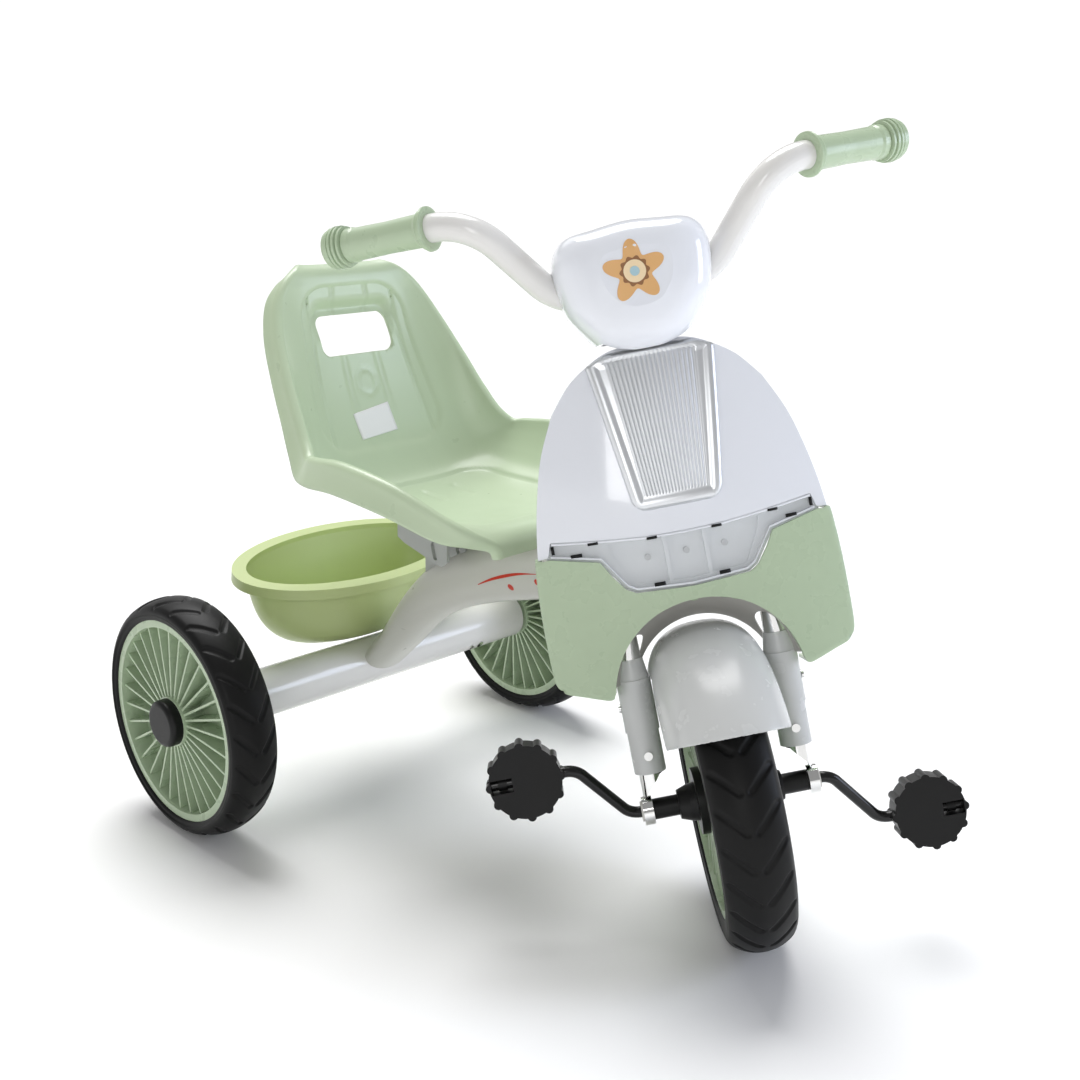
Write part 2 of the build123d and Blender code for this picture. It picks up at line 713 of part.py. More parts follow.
with BuildPart() as basket:
    for y, z, tilt, half_width, half_depth in basket_stations:
        with BuildSketch(basket_plane(y, z, tilt)):
            Ellipse(half_width, half_depth)
    loft()
    with BuildSketch(basket_plane(39.0, 202.0, 9.0)):
        Ellipse(*basket_rim)
    extrude(amount=basket_rim_height)
    for y, z, tilt, half_width, half_depth in basket_stations:
        with BuildSketch(basket_plane(y, z + (basket_wall if tilt == 0 else 1), tilt)):
            Ellipse(half_width - basket_wall, half_depth - basket_wall)
    loft(mode=Mode.SUBTRACT)
    with BuildSketch(basket_plane(39.0, 207.0, 9.0)):
        Ellipse(basket_stations[-1][3] - basket_wall, basket_stations[-1][4] - basket_wall)
    extrude(amount=basket_rim_height, mode=Mode.SUBTRACT)
    with BuildSketch(Plane.XY.offset(basket_floor_z + basket_wall)):
        with Locations(*basket_screw_places):
            Circle(4.1)
    extrude(amount=-basket_screw_depth, mode=Mode.SUBTRACT)
basket.part.label = "basket"
export_step(basket.part, "parts/basket.step")

with BuildPart() as basket_screws:
    with BuildSketch(Plane.XY.offset(basket_floor_z + basket_wall)):
        with Locations(*basket_screw_places):
            Circle(4)
    extrude(amount=-basket_screw_depth)
basket_screws.part.label = "basket_screws"
export_step(basket_screws.part, "parts/basket_screws.step")

# ---------------------------------------------------------------- front mudguard
guard_crown = 140.0
guard_half = 47.0
guard_wall = 2.2
guard_points = [(0, guard_crown), (20, 137), (34, 128), (43, 113), (46.3, 100), (guard_half, 86)]
guard_start = 20.0
guard_end = 128.0
guard_outline = [
    (-170, 85.5), (-70, 61), (-16, 104), (18, 104), (62, 80), (170, 66), (170, -60), (-170, -60),
]
guard_cut_radius = upper_sleeve_radius + clear_gap


with BuildPart() as front_mudguard:
    with BuildSketch(around_axle(guard_start)):
        with BuildLine():
            Spline(*[(-x, y) for x, y in reversed(guard_points[1:])], *guard_points)
            Line(guard_points[-1], (guard_half - guard_wall, guard_points[-1][1]))
            Spline(
                (guard_half - guard_wall, guard_points[-1][1]), (44.1, 100), (41, 112), (32.6, 126),
                (19, 134.7), (0, guard_crown - guard_wall), (-19, 134.7), (-32.6, 126), (-41, 112),
                (-44.1, 100),
                (guard_wall - guard_half, guard_points[-1][1]),
            )
            Line((guard_wall - guard_half, guard_points[-1][1]), (-guard_half, guard_points[-1][1]))
        make_face()
    revolve(axis=front_axle, revolution_arc=-(guard_end - guard_start))
    with BuildSketch(beside(-60)):
        Polygon(*guard_outline, align=None)
    extrude(amount=120, mode=Mode.SUBTRACT)
    with BuildSketch(level(0)):
        with Locations((fork_half_width, 0), (-fork_half_width, 0)):
            Circle(guard_cut_radius)
    extrude(amount=200, mode=Mode.SUBTRACT)
front_mudguard.part.label = "front_mudguard"
export_step(front_mudguard.part, "parts/front_mudguard.step")

# ---------------------------------------------------------------- fairing
# The fairing's skin is a shallow arc across the fork, further back at the top. Levels: height on
# the steering axis and how far the skin's centre lies behind its foremost line.
skin_front = -25.0
skin_half = 125.0
skin_sweep = 21.3
skin_levels = [(90.0, 0.0), (150.0, 0.0), (230.0, 0.0), (275.0, 1.7), (320.0, 6.8), (366.0, 15.4)]
rim_back = 14.0
grille_rise = 3.0
lens_wall = 1.8
strip_depth = 8.0
tray_depth = 12.5
housing_wall = 1.5
tray_floor = tray_depth - housing_wall
led_front = 7.5
board_back = 13.5
grille_cut = 1.2

skin_blocks = {}
skin_insets = (
    -grille_rise, -grille_cut, 0.0, lens_wall, plastic_wall, led_front, strip_depth, tray_floor, tray_depth,
)
for depth in (*skin_insets, board_back):
    with BuildPart() as skin_block:
        for up, setback in skin_levels:
            front = skin_front + setback + depth
            with BuildSketch(level(up)):
                with BuildLine():
                    ThreePointArc(
                        (-skin_half, front + skin_sweep), (0, front), (skin_half, front + skin_sweep),
                    )
                    Polyline(
                        (skin_half, front + skin_sweep), (skin_half, 60), (-skin_half, 60),
                        (-skin_half, front + skin_sweep),
                    )
                make_face()
        loft()
    skin_blocks[depth] = skin_block.part

side_points = [
    (0, 362), (30, 359), (50, 350), (66, 338.5), (82, 319.5), (96, 290), (104.8, 260), (111, 230),
    (114.9, 200), (116.8, 170), (117.2, 140), (116.4, 116),
]
foot_corner = (112.0, 108.0)
foot_inner = (76.0, 97.0)
joint_points = [(126, 212.5), (67.5, 202), (60, 190), (51, 178), (44, 173.8), (0, 172)]
lens_top = [(104, 223.2), (68, 219), (30, 215.6), (0, 215)]
lens_bottom = [(105, 211.6), (66.5, 203.8), (57, 190), (50, 180), (43.5, 176.2), (0, 173.4)]
arch_centre_up = 88.0
arch_radius = 74.5


def mirrored(points):
    """Points of a right-hand edge, outermost first, continued to the left."""
    return points + [(-x, y) for x, y in reversed(points) if x > 0]


with BuildSketch(facing(60)) as front_outline:
    with BuildLine():
        Spline(*side_points)
        Spline(*[(-x, y) for x, y in side_points])
        Polyline(
            side_points[-1], foot_corner, foot_inner, (-foot_inner[0], foot_inner[1]),
            (-foot_corner[0], foot_corner[1]), (-side_points[-1][0], side_points[-1][1]),
        )
    make_face()


def inset(points, distance):
    """Points of a right-hand edge, from the top down, moved towards the middle."""
    moved = []
    for index, point in enumerate(points):
        before = points[max(index - 1, 0)]
        after = points[min(index + 1, len(points) - 1)]
        run = Vector(after[0] - before[0], after[1] - before[1]).normalized()
        moved.append((max(point[0] + run.Y * distance, 0), point[1] - run.X * distance))
    return moved


inner_points = inset([*side_points, foot_corner, foot_inner], plastic_wall)
with BuildSketch(facing(60)) as inner_outline:
    with BuildLine():
        Spline(*inner_points[:-2])
        Spline(*[(-x, y) for x, y in inner_points[:-2]])
        Polyline(*inner_points[-3:], *[(-x, y) for x, y in reversed(inner_points[-3:])])
    make_face()

with BuildSketch(facing(60)) as lower_region:
    Polygon(*mirrored(joint_points), (-126, 60), (126, 60), align=None)

with BuildSketch(facing(60)) as lens_region:
    Polygon(*mirrored(lens_top), *reversed(mirrored(lens_bottom)), align=None)

with BuildPart() as fairing_hollow:
    add(skin_blocks[plastic_wall])
    extrude(inner_outline.sketch, amount=120, mode=Mode.INTERSECT)

with BuildPart() as fairing_shell:
    add(skin_blocks[0.0])
    extrude(front_outline.sketch, amount=120, mode=Mode.INTERSECT)
    add(fairing_hollow.part, mode=Mode.SUBTRACT)
    with BuildSketch(facing(rim_back)):
        Rectangle(2 * skin_half, 900)
    extrude(amount=-80, mode=Mode.SUBTRACT)

with BuildPart() as fairing_upper:
    add(fairing_shell.part)
    extrude(lower_region.sketch, amount=120, mode=Mode.SUBTRACT)
    with BuildSketch(facing(60)):
        add(lens_region.sketch_local)
        offset(amount=running_gap)
        with Locations((0, 358)):
            Rectangle(2 * steerer_radius + 3, 36)
    extrude(amount=120, mode=Mode.SUBTRACT)
fairing_upper.part.label = "fairing_upper"
export_step(fairing_upper.part, "parts/fairing_upper.step")

with BuildPart() as fairing_lower:
    add(fairing_shell.part)
    extrude(lower_region.sketch, amount=120, mode=Mode.INTERSECT)
    with BuildSketch(facing(60)):
        with Locations((0, arch_centre_up)):
            Circle(arch_radius)
    extrude(amount=120, mode=Mode.SUBTRACT)
fairing_lower.part.label = "fairing_lower"
export_step(fairing_lower.part, "parts/fairing_lower.step")

liner_front = -14.0
liner_rear_radius = 58.0
liner_wall = 2.0
liner_bottom = 104.0
with BuildPart() as arch_liner:
    for back, radius in ((liner_front, arch_radius + 1.6), (rim_back, liner_rear_radius)):
        with BuildSketch(facing(back)):
            with Locations((0, arch_centre_up)):
                Circle(radius)
    loft()
    for back, radius in ((liner_front, arch_radius + 1.6), (rim_back, liner_rear_radius)):
        with BuildSketch(facing(back)):
            with Locations((0, arch_centre_up)):
                Circle(radius - liner_wall)
    loft(mode=Mode.SUBTRACT)
    with BuildSketch(facing(60)):
        with Locations((0, liner_bottom - 100)):
            Rectangle(300, 200)
    extrude(amount=120, mode=Mode.SUBTRACT)
    with BuildSketch(level(0)):
        with Locations((fork_half_width, 0), (-fork_half_width, 0)):
            Circle(guard_cut_radius)
    extrude(amount=leg_top, mode=Mode.SUBTRACT)
    for offcut in arch_liner.part.solids().sort_by(SortBy.VOLUME)[:-1]:
        add(offcut, mode=Mode.SUBTRACT)
arch_liner.part.label = "arch_liner"
export_step(arch_liner.part, "parts/arch_liner.step")

# ---------------------------------------------------------------- headlamp
lamp_spots = (-30.0, 0.0, 30.0)
lamp_up = 199.0
led_radius = 2.5
tray_outline = [(59, 213.5), (57, 205), (44, 180), (0, 177.5)]
divider_centre = 15.5
divider_width = 3.0

with BuildPart() as lamp_lens:
    add(skin_blocks[0.0])
    extrude(lens_region.sketch, amount=120, mode=Mode.INTERSECT)
    add(skin_blocks[lens_wall], mode=Mode.SUBTRACT)
lamp_lens.part.label = "lamp_lens"
export_step(lamp_lens.part, "parts/lamp_lens.step")

with BuildPart() as tray_space:
    with BuildSketch(facing(60)):
        Polygon(*mirrored(tray_outline), align=None)
    extrude(amount=120)
    add(skin_blocks[tray_floor], mode=Mode.SUBTRACT)
    with BuildSketch(facing(60)):
        with Locations((divider_centre, lamp_up), (-divider_centre, lamp_up)):
            Rectangle(divider_width, 60)
    extrude(amount=78, mode=Mode.SUBTRACT)

with BuildPart() as strip_space:
    with BuildSketch(facing(60)):
        add(lens_region.sketch_local)
        offset(amount=-housing_wall, kind=Kind.INTERSECTION)
    extrude(amount=120)
    add(skin_blocks[strip_depth], mode=Mode.SUBTRACT)
    with BuildSketch(facing(60)):
        Rectangle(2 * (divider_centre + divider_width / 2), 600)
    extrude(amount=78, mode=Mode.SUBTRACT)

with BuildPart() as lamp_housing:
    add(skin_blocks[plastic_wall])
    with BuildSketch(facing(60)):
        add(lens_region.sketch_local)
        offset(amount=2, kind=Kind.INTERSECTION)
    extrude(amount=120, mode=Mode.INTERSECT)
    add(skin_blocks[tray_depth], mode=Mode.SUBTRACT)
    add(tray_space.part, mode=Mode.SUBTRACT)
    add(strip_space.part, mode=Mode.SUBTRACT)
    with BuildSketch(facing(60)):
        with Locations(*[(x, lamp_up) for x in lamp_spots]):
            Circle(led_radius + running_gap)
    extrude(amount=120, mode=Mode.SUBTRACT)
    for offcut in lamp_housing.part.solids().sort_by(SortBy.VOLUME)[:-1]:
        add(offcut, mode=Mode.SUBTRACT)
lamp_housing.part.label = "lamp_housing"
export_step(lamp_housing.part, "parts/lamp_housing.step")

with BuildPart() as lamp_leds:
    add(skin_blocks[led_front])
    with BuildSketch(facing(60)):
        with Locations(*[(x, lamp_up) for x in lamp_spots]):
            Circle(led_radius)
    extrude(amount=120, mode=Mode.INTERSECT)
    add(skin_blocks[tray_depth], mode=Mode.SUBTRACT)
lamp_leds.part.label = "lamp_leds"
export_step(lamp_leds.part, "parts/lamp_leds.step")

with BuildPart() as led_board:
    add(skin_blocks[tray_depth])
    with BuildSketch(facing(60)):
        with Locations((0, lamp_up)):
            RectangleRounded(80, 14, 2)
    extrude(amount=120, mode=Mode.INTERSECT)
    add(skin_blocks[board_back], mode=Mode.SUBTRACT)
led_board.part.label = "led_board"
export_step(led_board.part, "parts/led_board.step")

# ---------------------------------------------------------------- silver panel on the fairing
groove_count = 19
groove_half_top = 28.6
groove_half_bottom = 21.4
groove_width = 1.5
groove_top = 348.0
groove_bottom = 246.0

grille_half = [(-31, 357), (-49.4, 350), (-33.6, 245), (-26, 235.6)]

with BuildPart() as groove_cutter:
    with BuildSketch(facing(60)):
        for index in range(groove_count):
            share = 2 * index / (groove_count - 1) - 1
            top = share * groove_half_top
            bottom = share * groove_half_bottom
            Polygon(
                (top - groove_width / 2, groove_top), (top + groove_width / 2, groove_top),
                (bottom + groove_width / 2, groove_bottom), (bottom - groove_width / 2, groove_bottom),
                align=None,
            )
    extrude(amount=120)
    add(skin_blocks[-grille_cut], mode=Mode.SUBTRACT)

with BuildPart() as grille_panel:
    add(skin_blocks[-grille_rise])
    with BuildSketch(facing(60)):
        Polygon(*grille_half, *[(-x, y) for x, y in reversed(grille_half)], align=None)
    extrude(amount=120, mode=Mode.INTERSECT)
    add(skin_blocks[0.0], mode=Mode.SUBTRACT)
    add(groove_cutter.part, mode=Mode.SUBTRACT)
grille_panel.part.label = "grille_panel"
export_step(grille_panel.part, "parts/grille_panel.step")

# ---------------------------------------------------------------- fairing bracket and battery box
bracket_up = 300.0
bracket_thickness = 2.5
with BuildPart() as fairing_bracket:
    with BuildSketch(level(bracket_up)):
        Circle(steerer_radius + 5)
        with Locations((0, -9)):
            Rectangle(24, 13)
        Circle(steerer_radius + running_gap, mode=Mode.SUBTRACT)
    extrude(amount=bracket_thickness)
    with BuildSketch(level(bracket_up)):
        with Locations((0, -15.2)):
            Rectangle(24, bracket_thickness)
    extrude(amount=13)
fairing_bracket.part.label = "fairing_bracket"
export_step(fairing_bracket.part, "parts/fairing_bracket.step")

box_lateral = 70.0
box_width = 36.0
box_front = -7.0
box_back = 6.0
box_bottom = 234.0
box_height = 60.0
box_wall = 1.6
door_thickness = 2.0
switch_radius = 5.0
switch_up = 284.0

with BuildPart() as battery_box:
    with BuildSketch(facing(box_back)):
        with Locations((box_lateral, box_bottom + box_height / 2)):
            RectangleRounded(box_width, box_height, 3)
    extrude(amount=box_back - box_front)
    with BuildSketch(facing(box_back)):
        with Locations((box_lateral, box_bottom + box_height / 2)):
            RectangleRounded(box_width - 2 * box_wall, box_height - 2 * box_wall, 2)
    extrude(amount=box_back - box_front - box_wall, mode=Mode.SUBTRACT)
battery_box.part.label = "battery_box"
export_step(battery_box.part, "parts/battery_box.step")

with BuildPart() as battery_door:
    with BuildSketch(facing(box_back + door_thickness)):
        with Locations((box_lateral, box_bottom + box_height / 2)):
            RectangleRounded(box_width, box_height, 3)
        with Locations((box_lateral, switch_up)):
            Circle(switch_radius + clear_gap, mode=Mode.SUBTRACT)
    extrude(amount=door_thickness)
battery_door.part.label = "battery_door"
export_step(battery_door.part, "parts/battery_door.step")

with BuildPart() as light_switch:
    with BuildSketch(facing(box_back + door_thickness + 3)):
        with Locations((box_lateral, switch_up)):
            Circle(switch_radius)
    extrude(amount=9)
light_switch.part.label = "light_switch"
export_step(light_switch.part, "parts/light_switch.step")

# ---------------------------------------------------------------- handlebar
# The bar's run on one side: lateral, back and up of its bends and its end.
bar_back = 11.0
bar_up = 404.0
bar_elbow = (58.3, bar_back, bar_up)
bar_shoulder = (116.0, -24.4, 473.8)
grip_flange = (144.9, -8.0, 475.8)
grip_ball = (218.7, 34.0, 481.0)
bend_radius = 46.0
bar_wall = 1.5

bar_run = place(*grip_ball) - place(*grip_flange)
grip_length = bar_run.length
bar_end = place(*grip_ball) + bar_run.normalized() * 6


def opposite(point):
    """Point of the steering frame on the other side of the fork."""
    return (-point[0], point[1], point[2])


bar_tip = steer.to_local_coords(bar_end)
bar_points = [tuple(bar_tip), bar_shoulder, bar_elbow]
bar_points = bar_points + [opposite(point) for point in reversed(bar_points)]
bar_corners = [place(*point) for point in bar_points]

with BuildLine() as bar_path:
    run_start = bar_corners[0]
    for before, corner, after in zip(bar_corners, bar_corners[1:], bar_corners[2:]):
        arriving = (corner - before).normalized()
        leaving = (after - corner).normalized()
        turn = math.acos(arriving.dot(leaving)) / 2
        setback = bend_radius * math.tan(turn)
        inward = (leaving - arriving).normalized()
        bend_start = corner - arriving * setback
        bend_end = corner + leaving * setback
        bend_middle = corner + inward * (bend_radius / math.cos(turn) - bend_radius)
        Line(run_start, bend_start)
        ThreePointArc(bend_start, bend_middle, bend_end)
        run_start = bend_end
    Line(run_start, bar_corners[-1])

with BuildPart() as handlebar:
    with BuildSketch(Plane(origin=bar_path.line @ 0, z_dir=bar_path.line % 0)):
        Circle(bar_radius)
        Circle(bar_radius - bar_wall, mode=Mode.SUBTRACT)
    sweep(path=bar_path.line)
handlebar.part.label = "handlebar"
export_step(handlebar.part, "parts/handlebar.step")

with BuildPart() as bar_clearance:
    with BuildSketch(Plane(origin=bar_path.line @ 0, z_dir=bar_path.line % 0)):
        Circle(bar_radius + clear_gap)
    sweep(path=bar_path.line)

# ---------------------------------------------------------------- handlebar clamp
clamp_half = 22.0
clamp_radius = 16.5
clamp_boss = 15.0
clamp_bottom = 366.0
lug_spots = [(14.5, -15.0), (-14.5, -15.0)]
lug_radius = 7.0
lug_bottom = 396.0
lug_top = 412.0
clamp_bolt_radius = 2.5

with BuildPart() as handlebar_clamp:
    with BuildSketch(beside(-clamp_half)):
        with Locations((bar_back, bar_up)):
            Circle(clamp_radius)
    extrude(amount=2 * clamp_half)
    with BuildSketch(level(clamp_bottom)):
        Circle(clamp_boss)
    extrude(amount=bar_up - clamp_bottom)
    with BuildSketch(level(lug_bottom)):
        with Locations(*lug_spots):
            Circle(lug_radius)
        with Locations((0, -3)):
            Rectangle(2 * clamp_half, 24)
    extrude(amount=lug_top - lug_bottom)
    with BuildSketch(beside(-clamp_half)):
        with Locations((bar_back, bar_up)):
            Circle(bar_radius + running_gap)
        with Locations((-12, bar_up)):
            Rectangle(40, 2)
    extrude(amount=2 * clamp_half, mode=Mode.SUBTRACT)
    with BuildSketch(level(clamp_bottom)):
        Circle(steerer_radius + running_gap)
    extrude(amount=stem_top + 1 - clamp_bottom, mode=Mode.SUBTRACT)
    with BuildSketch(level(lug_bottom)):
        with Locations(*lug_spots):
            Circle(clamp_bolt_radius + running_gap)
    extrude(amount=lug_top - lug_bottom, mode=Mode.SUBTRACT)
handlebar_clamp.part.label = "handlebar_clamp"
export_step(handlebar_clamp.part, "parts/handlebar_clamp.step")

with BuildPart() as clamp_bolts:
    with BuildSketch(level(lug_top)):
        with Locations(*lug_spots):
            RegularPolygon(4.2, 6)
    extrude(amount=3.5)
    with BuildSketch(level(lug_bottom - 5)):
        with Locations(*lug_spots):
            Circle(clamp_bolt_radius)
    extrude(amount=lug_top - lug_bottom + 5)
    with BuildSketch(level(lug_bottom - 4)):
        with Locations(*lug_spots):
            RegularPolygon(4.2, 6)
    extrude(amount=4)
clamp_bolts.part.label = "clamp_bolts"
export_step(clamp_bolts.part, "parts/clamp_bolts.step")

# ---------------------------------------------------------------- grips
# Half profile of a grip: along the bar from the flange's inner face, radius.
grip_profile = [
    (0, 15.2), (0.8, 17), (2.6, 17.2), (3.6, 15.4), (5.4, 15.6), (6.8, 14.2), (9, 13), (40, 12.4),
    (grip_length - 17, 12.9), (grip_length - 14.5, 13.6),
]
ball_radius = 17.0
ball_half = 13.0
ball_rings = 6
for ring in range(ball_rings):
    along = -10.0 + ring * 3.6
    crest = ball_radius * math.sqrt(1 - (along / ball_half) ** 2 / 1.6)
    grip_profile += [(grip_length + along - 1.0, crest), (grip_length + along + 1.0, crest)]
    grip_profile += [(grip_length + along + 1.5, crest - 1.4), (grip_length + along + 2.1, crest - 1.4)]
grip_tip = grip_length + 12.0

for side, name in sides:
    flange = grip_flange if side > 0 else opposite(grip_flange)
    ball = grip_ball if side > 0 else opposite(grip_ball)
    grip_run = (place(*ball) - place(*flange)).normalized()
    grip_plane = Plane(origin=place(*flange), x_dir=grip_run, z_dir=grip_run.cross(steer_up))
    with BuildPart() as grip:
        with BuildSketch(grip_plane):
            Polygon((0, 0), *grip_profile, (grip_tip, 7), (grip_tip, 0), align=None)
        revolve(axis=Axis(place(*flange), grip_run))
        with BuildSketch(Plane(origin=place(*flange), z_dir=grip_run)):
            Circle(bar_radius + running_gap)
        extrude(amount=grip_length + 6.5, mode=Mode.SUBTRACT)
    grip.part.label = f"grip_{name}"
    export_step(grip.part, f"parts/grip_{name}.step")

# ---------------------------------------------------------------- handlebar cover
cover_split = 12.0
cover_centre_up = 412.0
cover_outline = [
    (0, 454.5), (30, 451.8), (52, 446.5), (60.5, 434), (61.6, 421), (59.8, 406), (55.5, 390), (45.5, 374.4),
    (33, 361.5), (17, 355.2), (0, 353.6),
]
cover_front_levels = [(12.0, 1.0), (-6.0, 0.99), (-20.0, 0.945), (-31.0, 0.84), (-38.0, 0.64), (-40.4, 0.44)]
cover_rear_levels = [(12.0, 1.0), (22.0, 0.96), (29.0, 0.84), (33.0, 0.64), (34.0, 0.46)]
cover_shrink = 0.956
emblem_radius = 25.0
emblem_thickness = 0.6


def cover_points(scale):
    """Points of the cover's edge, scaled about its middle, from the top down one side."""
    return [(x * scale, cover_centre_up + (up - cover_centre_up) * scale) for x, up in cover_outline]


for name, levels, inward in (
    ("front", cover_front_levels, 1), ("rear", cover_rear_levels, -1),
):
    with BuildPart() as bar_cover:
        for back, scale in levels:
            with BuildSketch(facing(back)):
                with BuildLine():
                    Spline(*cover_points(scale), tangents=[(1, 0), (-1, 0)])
                    Spline(*[(-x, up) for x, up in cover_points(scale)], tangents=[(-1, 0), (1, 0)])
                make_face()
        loft()
        for back, scale in levels:
            shift = 0 if back == cover_split else inward * plastic_wall
            with BuildSketch(facing(back + shift)):
                with BuildLine():
                    half_points = cover_points(scale * cover_shrink)
                    Spline(*half_points, tangents=[(1, 0), (-1, 0)])
                    Spline(*[(-x, up) for x, up in half_points], tangents=[(-1, 0), (1, 0)])
                make_face()
        loft(mode=Mode.SUBTRACT)
        add(bar_clearance.part, mode=Mode.SUBTRACT)
        with BuildSketch(level(330)):
            with Locations((0, -17.4 + 30)):
                Rectangle(112, 60)
        extrude(amount=35, mode=Mode.SUBTRACT)
    bar_cover.part.label = f"bar_cover_{name}"
    export_step(bar_cover.part, f"parts/bar_cover_{name}.step")

with BuildPart() as emblem_disc:
    with BuildSketch(facing(cover_front_levels[-1][0])):
        with Locations((-2, cover_centre_up)):
            Circle(emblem_radius)
    extrude(amount=emblem_thickness)
emblem_disc.part.label = "emblem_disc"
export_step(emblem_disc.part, "parts/emblem_disc.step")

# ---------------------------------------------------------------- screw and plug of the axle tube
with BuildPart() as axle_tube_screw:
    with BuildSketch(Plane(origin=(113, rear_axle_y, rear_wheel_radius), z_dir=(0, -0.8, -0.6))):
        Circle(3.2)
    extrude(amount=tube_radius + 1.5)
    with BuildSketch(Plane(origin=(126, rear_axle_y, rear_wheel_radius), z_dir=(0, -0.8, -0.6))):
        Circle(4)
    extrude(amount=tube_radius + 0.8)
    with BuildSketch(side_plane(100)):
        with Locations((0, rear_wheel_radius)):
            Circle(tube_radius)
    extrude(amount=40, mode=Mode.SUBTRACT)
axle_tube_screw.part.label = "axle_tube_screw"
export_step(axle_tube_screw.part, "parts/axle_tube_screw.step")
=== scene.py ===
"""Looks of the children's tricycle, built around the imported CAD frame. Metres, +Z up, facing -Y."""

import json
import math

import bmesh
import bpy
from mathutils import Matrix, Vector
from mathutils.bvhtree import BVHTree


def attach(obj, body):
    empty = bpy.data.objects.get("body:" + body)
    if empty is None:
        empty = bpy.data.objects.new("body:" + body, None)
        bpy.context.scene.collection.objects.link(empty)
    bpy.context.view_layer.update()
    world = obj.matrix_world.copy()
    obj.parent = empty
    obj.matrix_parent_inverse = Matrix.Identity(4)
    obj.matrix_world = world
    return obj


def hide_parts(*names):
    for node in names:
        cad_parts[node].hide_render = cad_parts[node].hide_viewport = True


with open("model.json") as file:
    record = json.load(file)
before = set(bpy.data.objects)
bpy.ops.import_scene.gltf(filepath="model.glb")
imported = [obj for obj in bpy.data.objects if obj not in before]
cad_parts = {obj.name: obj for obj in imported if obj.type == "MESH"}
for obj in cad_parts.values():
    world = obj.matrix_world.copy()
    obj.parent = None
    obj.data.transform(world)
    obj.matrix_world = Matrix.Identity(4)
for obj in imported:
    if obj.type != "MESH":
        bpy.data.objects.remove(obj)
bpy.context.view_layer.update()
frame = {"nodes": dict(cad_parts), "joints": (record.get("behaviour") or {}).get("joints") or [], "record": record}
nodes = frame["nodes"]
joints = {joint["name"]: joint for joint in frame["joints"]}

# ---------------------------------------------------------------- places taken from the frame
MM = 0.001
front_hub = Vector(joints["front_wheel_spin"]["pos_m"])
steer_up = Vector(joints["steering_turn"]["axis"]).normalized()
steer_side = Vector(joints["front_wheel_spin"]["axis"]).normalized()
steer_back = steer_up.cross(steer_side)
rear_hub = Vector(joints["rear_left_spin"]["pos_m"])


def place(lateral, back, up):
    """Point of the steering frame, given in millimetres, in the tricycle's frame."""
    return front_hub + (steer_side * lateral + steer_back * back + steer_up * up) * MM


def saddle(x, y, z):
    """Point given in millimetres, with Y measured from the rear axle."""
    return Vector((x * MM, rear_hub.y + y * MM, z * MM))


# ---------------------------------------------------------------- materials
def value_noise(tree, coords, scale, detail=3.0, stretch=None):
    """Noise texture over object coordinates."""
    source = coords
    if stretch:
        mapping = tree.nodes.new("ShaderNodeMapping")
        mapping.inputs["Scale"].default_value = stretch
        tree.links.new(coords, mapping.inputs["Vector"])
        source = mapping.outputs["Vector"]
    noise = tree.nodes.new("ShaderNodeTexNoise")
    noise.inputs["Scale"].default_value = scale
    noise.inputs["Detail"].default_value = detail
    tree.links.new(source, noise.inputs["Vector"])
    return noise.outputs["Fac"]


grain_scale = 240.0
gloss_scale = 60.0
patch_scale = 9.0


def moulded(
    name, color, shade, roughness, relief=0.02, coat=0.0, metallic=0.0, spread=0.06, sheen=0.5,
):
    """Painted or moulded surface: two close tones in soft patches, a fine grain and uneven gloss."""
    material = bpy.data.materials.new(name)
    material.use_nodes = True
    tree = material.node_tree
    shader = tree.nodes["Principled BSDF"]
    coords = tree.nodes.new("ShaderNodeTexCoord").outputs["Object"]
    patches = value_noise(tree, coords, patch_scale)
    mix = tree.nodes.new("ShaderNodeMix")
    mix.data_type = "RGBA"
    mix.inputs["A"].default_value = (*color, 1)
    mix.inputs["B"].default_value = (*shade, 1)
    tree.links.new(patches, mix.inputs["Factor"])
    tree.links.new(mix.outputs["Result"], shader.inputs["Base Color"])
    gloss = tree.nodes.new("ShaderNodeMapRange")
    gloss.inputs["To Min"].default_value = max(roughness - spread, 0.02)
    gloss.inputs["To Max"].default_value = roughness + spread
    tree.links.new(value_noise(tree, coords, gloss_scale), gloss.inputs["Value"])
    tree.links.new(gloss.outputs["Result"], shader.inputs["Roughness"])
    bump = tree.nodes.new("ShaderNodeBump")
    bump.inputs["Strength"].default_value = relief * 0.4
    bump.inputs["Distance"].default_value = 0.001
    tree.links.new(value_noise(tree, coords, grain_scale, 2.0), bump.inputs["Height"])
    tree.links.new(bump.outputs["Normal"], shader.inputs["Normal"])
    shader.inputs["Metallic"].default_value = metallic
    shader.inputs["Specular IOR Level"].default_value = sheen
    shader.inputs["Coat Weight"].default_value = coat
    shader.inputs["Coat Roughness"].default_value = 0.05
    return material


def clear_plastic(name, color, roughness, alpha):
    """Clear moulding: mostly see-through, with a glossy skin and faint flow marks."""
    material = moulded(name, color, [c * 0.97 for c in color], roughness, relief=0.01, spread=0.02)
    shader = material.node_tree.nodes["Principled BSDF"]
    shader.inputs["Alpha"].default_value = alpha
    shader.inputs["IOR"].default_value = 1.49
    return material


